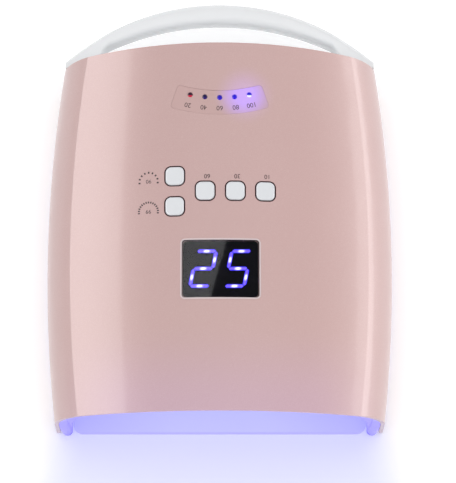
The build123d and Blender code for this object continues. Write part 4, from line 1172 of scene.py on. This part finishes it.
def softbox(name, place, target, size, glow, seen_in, only_on=None):
    """A rectangular light facing a target; glow is its radiance. seen_in says which rays it feeds, and
    only_on limits it to some pieces."""
    data = bpy.data.lights.new(name, "AREA")
    data.shape = "RECTANGLE"
    data.size, data.size_y = size
    data.energy = glow * math.pi * size[0] * size[1]
    obj = bpy.data.objects.new(name, data)
    obj.location = place
    aim = Vector(target) - Vector(place)
    obj.rotation_euler = aim.to_track_quat("-Z", "Y").to_euler()
    obj.visible_camera = False
    obj.visible_diffuse = "diffuse" in seen_in
    obj.visible_glossy = "glossy" in seen_in
    bpy.context.scene.collection.objects.link(obj)
    if only_on:
        lit = bpy.data.collections.new(name + "_lit")
        for piece in only_on:
            lit.objects.link(piece)
        obj.light_linking.receiver_collection = lit
    return obj


def from_zenith(angle, distance, side):
    """A point at an angle from straight up, towards one side of the lamp."""
    radians = math.radians(angle)
    return (side * distance * math.sin(radians), -0.02, 0.05 + distance * math.cos(radians))


def make_lights():
    stage = settings().stage
    target = (0, -0.02, 0.05)
    softbox("softbox_left", from_zenith(57, 1.6, -1), target, (2.2, 1.02), stage.softbox_glow, ("glossy",))
    softbox("softbox_right", from_zenith(73, 1.6, 1), target, (2.2, 0.95), stage.softbox_glow, ("glossy",))
    softbox("overhead", from_zenith(0, 1.7, 1), target, (1.6, 1.6), stage.overhead_glow, ("diffuse",))
    shell = [NODES["top_shell"]]
    for side, glow in ((-1, 0.45), (1, 2.1)):
        softbox("side_fill", from_zenith(80, 1.2, side), target, (1.5, 0.4), glow, ("diffuse",), shell)
    window = [NODES["display_window"]]
    card = softbox("window_card", (-0.094, 0.585, 2.06), target, (1.4, 0.5), 4.2, ("glossy",), window)
    card.rotation_euler = (0, 0, math.radians(21))
    world = bpy.data.worlds.new("studio")
    bpy.context.scene.world = world
    world.use_nodes = True
    tree = world.node_tree
    coordinates = tree.nodes.new("ShaderNodeTexCoord")
    split = tree.nodes.new("ShaderNodeSeparateXYZ")
    ramp = tree.nodes.new("ShaderNodeValToRGB")
    ramp.color_ramp.elements[0].position = 0.0
    ramp.color_ramp.elements[0].color = (0.95, 0.95, 0.96, 1)
    ramp.color_ramp.elements[1].position = 1.0
    ramp.color_ramp.elements[1].color = (0.16, 0.16, 0.165, 1)
    tree.links.new(coordinates.outputs["Generated"], split.inputs[0])
    tree.links.new(split.outputs["Z"], ramp.inputs[0])
    tree.links.new(ramp.outputs[0], tree.nodes["Background"].inputs["Color"])
    tree.nodes["Background"].inputs["Strength"].default_value = 1.0


def make_camera():
    stage = settings().stage
    target = Vector((0, -0.0168, 0.0475))
    angle = stage.view_angle
    place = target + stage.view_distance * Vector((0, -math.cos(angle), math.sin(angle)))
    data = bpy.data.cameras.new("camera")
    data.sensor_width = 36
    data.lens = stage.lens
    data.shift_x = 0.0172
    data.shift_y = -0.003
    camera = bpy.data.objects.new("camera", data)
    camera.location = place
    camera.rotation_euler = (target - place).to_track_quat("-Z", "Y").to_euler()
    bpy.context.scene.collection.objects.link(camera)
    bpy.context.scene.camera = camera


# ---- operators ----------------------------------------------------------------------------------
class NAILLAMP_OT_finishes(bpy.types.Operator):
    """Give every CAD node its finish"""
    bl_idname = "naillamp.finishes"
    bl_label = "Finishes"

    def execute(self, context):
        dress_nodes()
        return {"FINISHED"}


class NAILLAMP_OT_grip(bpy.types.Operator):
    """Build the carrying handle"""
    bl_idname = "naillamp.grip"
    bl_label = "Handle"

    def execute(self, context):
        make_grip()
        return {"FINISHED"}


class NAILLAMP_OT_keys(bpy.types.Operator):
    """Build the five keys and the painted shade in the joints round them"""
    bl_idname = "naillamp.keys"
    bl_label = "Keys"

    def execute(self, context):
        make_keys()
        make_gap_painted_shade()
        return {"FINISHED"}


class NAILLAMP_OT_display(bpy.types.Operator):
    """Build the lit bars of the display"""
    bl_idname = "naillamp.display"
    bl_label = "Display"

    def execute(self, context):
        make_display()
        return {"FINISHED"}


class NAILLAMP_OT_gauge(bpy.types.Operator):
    """Build the charge gauge's dots and numbers"""
    bl_idname = "naillamp.gauge"
    bl_label = "Charge gauge"

    def execute(self, context):
        make_gauge_dots()
        make_gauge_numbers()
        return {"FINISHED"}


class NAILLAMP_OT_numbers(bpy.types.Operator):
    """Print the numbers beside the keys"""
    bl_idname = "naillamp.numbers"
    bl_label = "Printed numbers"

    def execute(self, context):
        make_numbers()
        return {"FINISHED"}


class NAILLAMP_OT_screws(bpy.types.Operator):
    """Put cross-recess screws on the outside"""
    bl_idname = "naillamp.screws"
    bl_label = "Screws"

    def execute(self, context):
        make_screws()
        return {"FINISHED"}


class NAILLAMP_OT_lamps(bpy.types.Operator):
    """Build the domes of the lamps"""
    bl_idname = "naillamp.lamps"
    bl_label = "Lamp domes"

    def execute(self, context):
        make_lamp_domes()
        return {"FINISHED"}


class NAILLAMP_OT_stage(bpy.types.Operator):
    """Set up the floor, the lights and the camera"""
    bl_idname = "naillamp.stage"
    bl_label = "Stage"

    def execute(self, context):
        make_floor()
        make_lights()
        make_camera()
        context.scene.view_settings.view_transform = "Standard"
        return {"FINISHED"}


OPERATORS = (NAILLAMP_OT_finishes, NAILLAMP_OT_grip, NAILLAMP_OT_keys, NAILLAMP_OT_display, NAILLAMP_OT_gauge,
             NAILLAMP_OT_numbers, NAILLAMP_OT_screws, NAILLAMP_OT_lamps, NAILLAMP_OT_stage)


class NAILLAMP_PT_panel(bpy.types.Panel):
    """The lamp's sizes, colours and builders"""
    bl_idname = "NAILLAMP_PT_panel"
    bl_label = "Nail Lamp"
    bl_space_type = "VIEW_3D"
    bl_region_type = "UI"
    bl_category = "Nail Lamp"

    def draw(self, context):
        groups = context.scene.nail_lamp
        for title, group in (("Casing", groups.casing), ("Keys", groups.keys), ("Lights", groups.lights),
                             ("Stage", groups.stage)):
            box = self.layout.box()
            box.label(text=title)
            for name in group.__annotations__:
                box.prop(group, name)
        for operator in OPERATORS:
            self.layout.operator(operator.bl_idname)


CLASSES = (NAILLAMP_PG_casing, NAILLAMP_PG_keys, NAILLAMP_PG_lights, NAILLAMP_PG_stage, NAILLAMP_PG_settings,
           *OPERATORS, NAILLAMP_PT_panel)


def register():
    for item in CLASSES:
        bpy.utils.register_class(item)
    bpy.types.Scene.nail_lamp = PointerProperty(type=NAILLAMP_PG_settings)


def unregister():
    del bpy.types.Scene.nail_lamp
    for item in reversed(CLASSES):
        bpy.utils.unregister_class(item)


def plain(bounds):
    return [[float(value) for value in corner] for corner in bounds]


def main():
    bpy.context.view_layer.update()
    register()
    for operator in OPERATORS:
        getattr(bpy.ops.naillamp, operator.bl_idname.split(".")[1])()


if __name__ == "__main__":
    main()
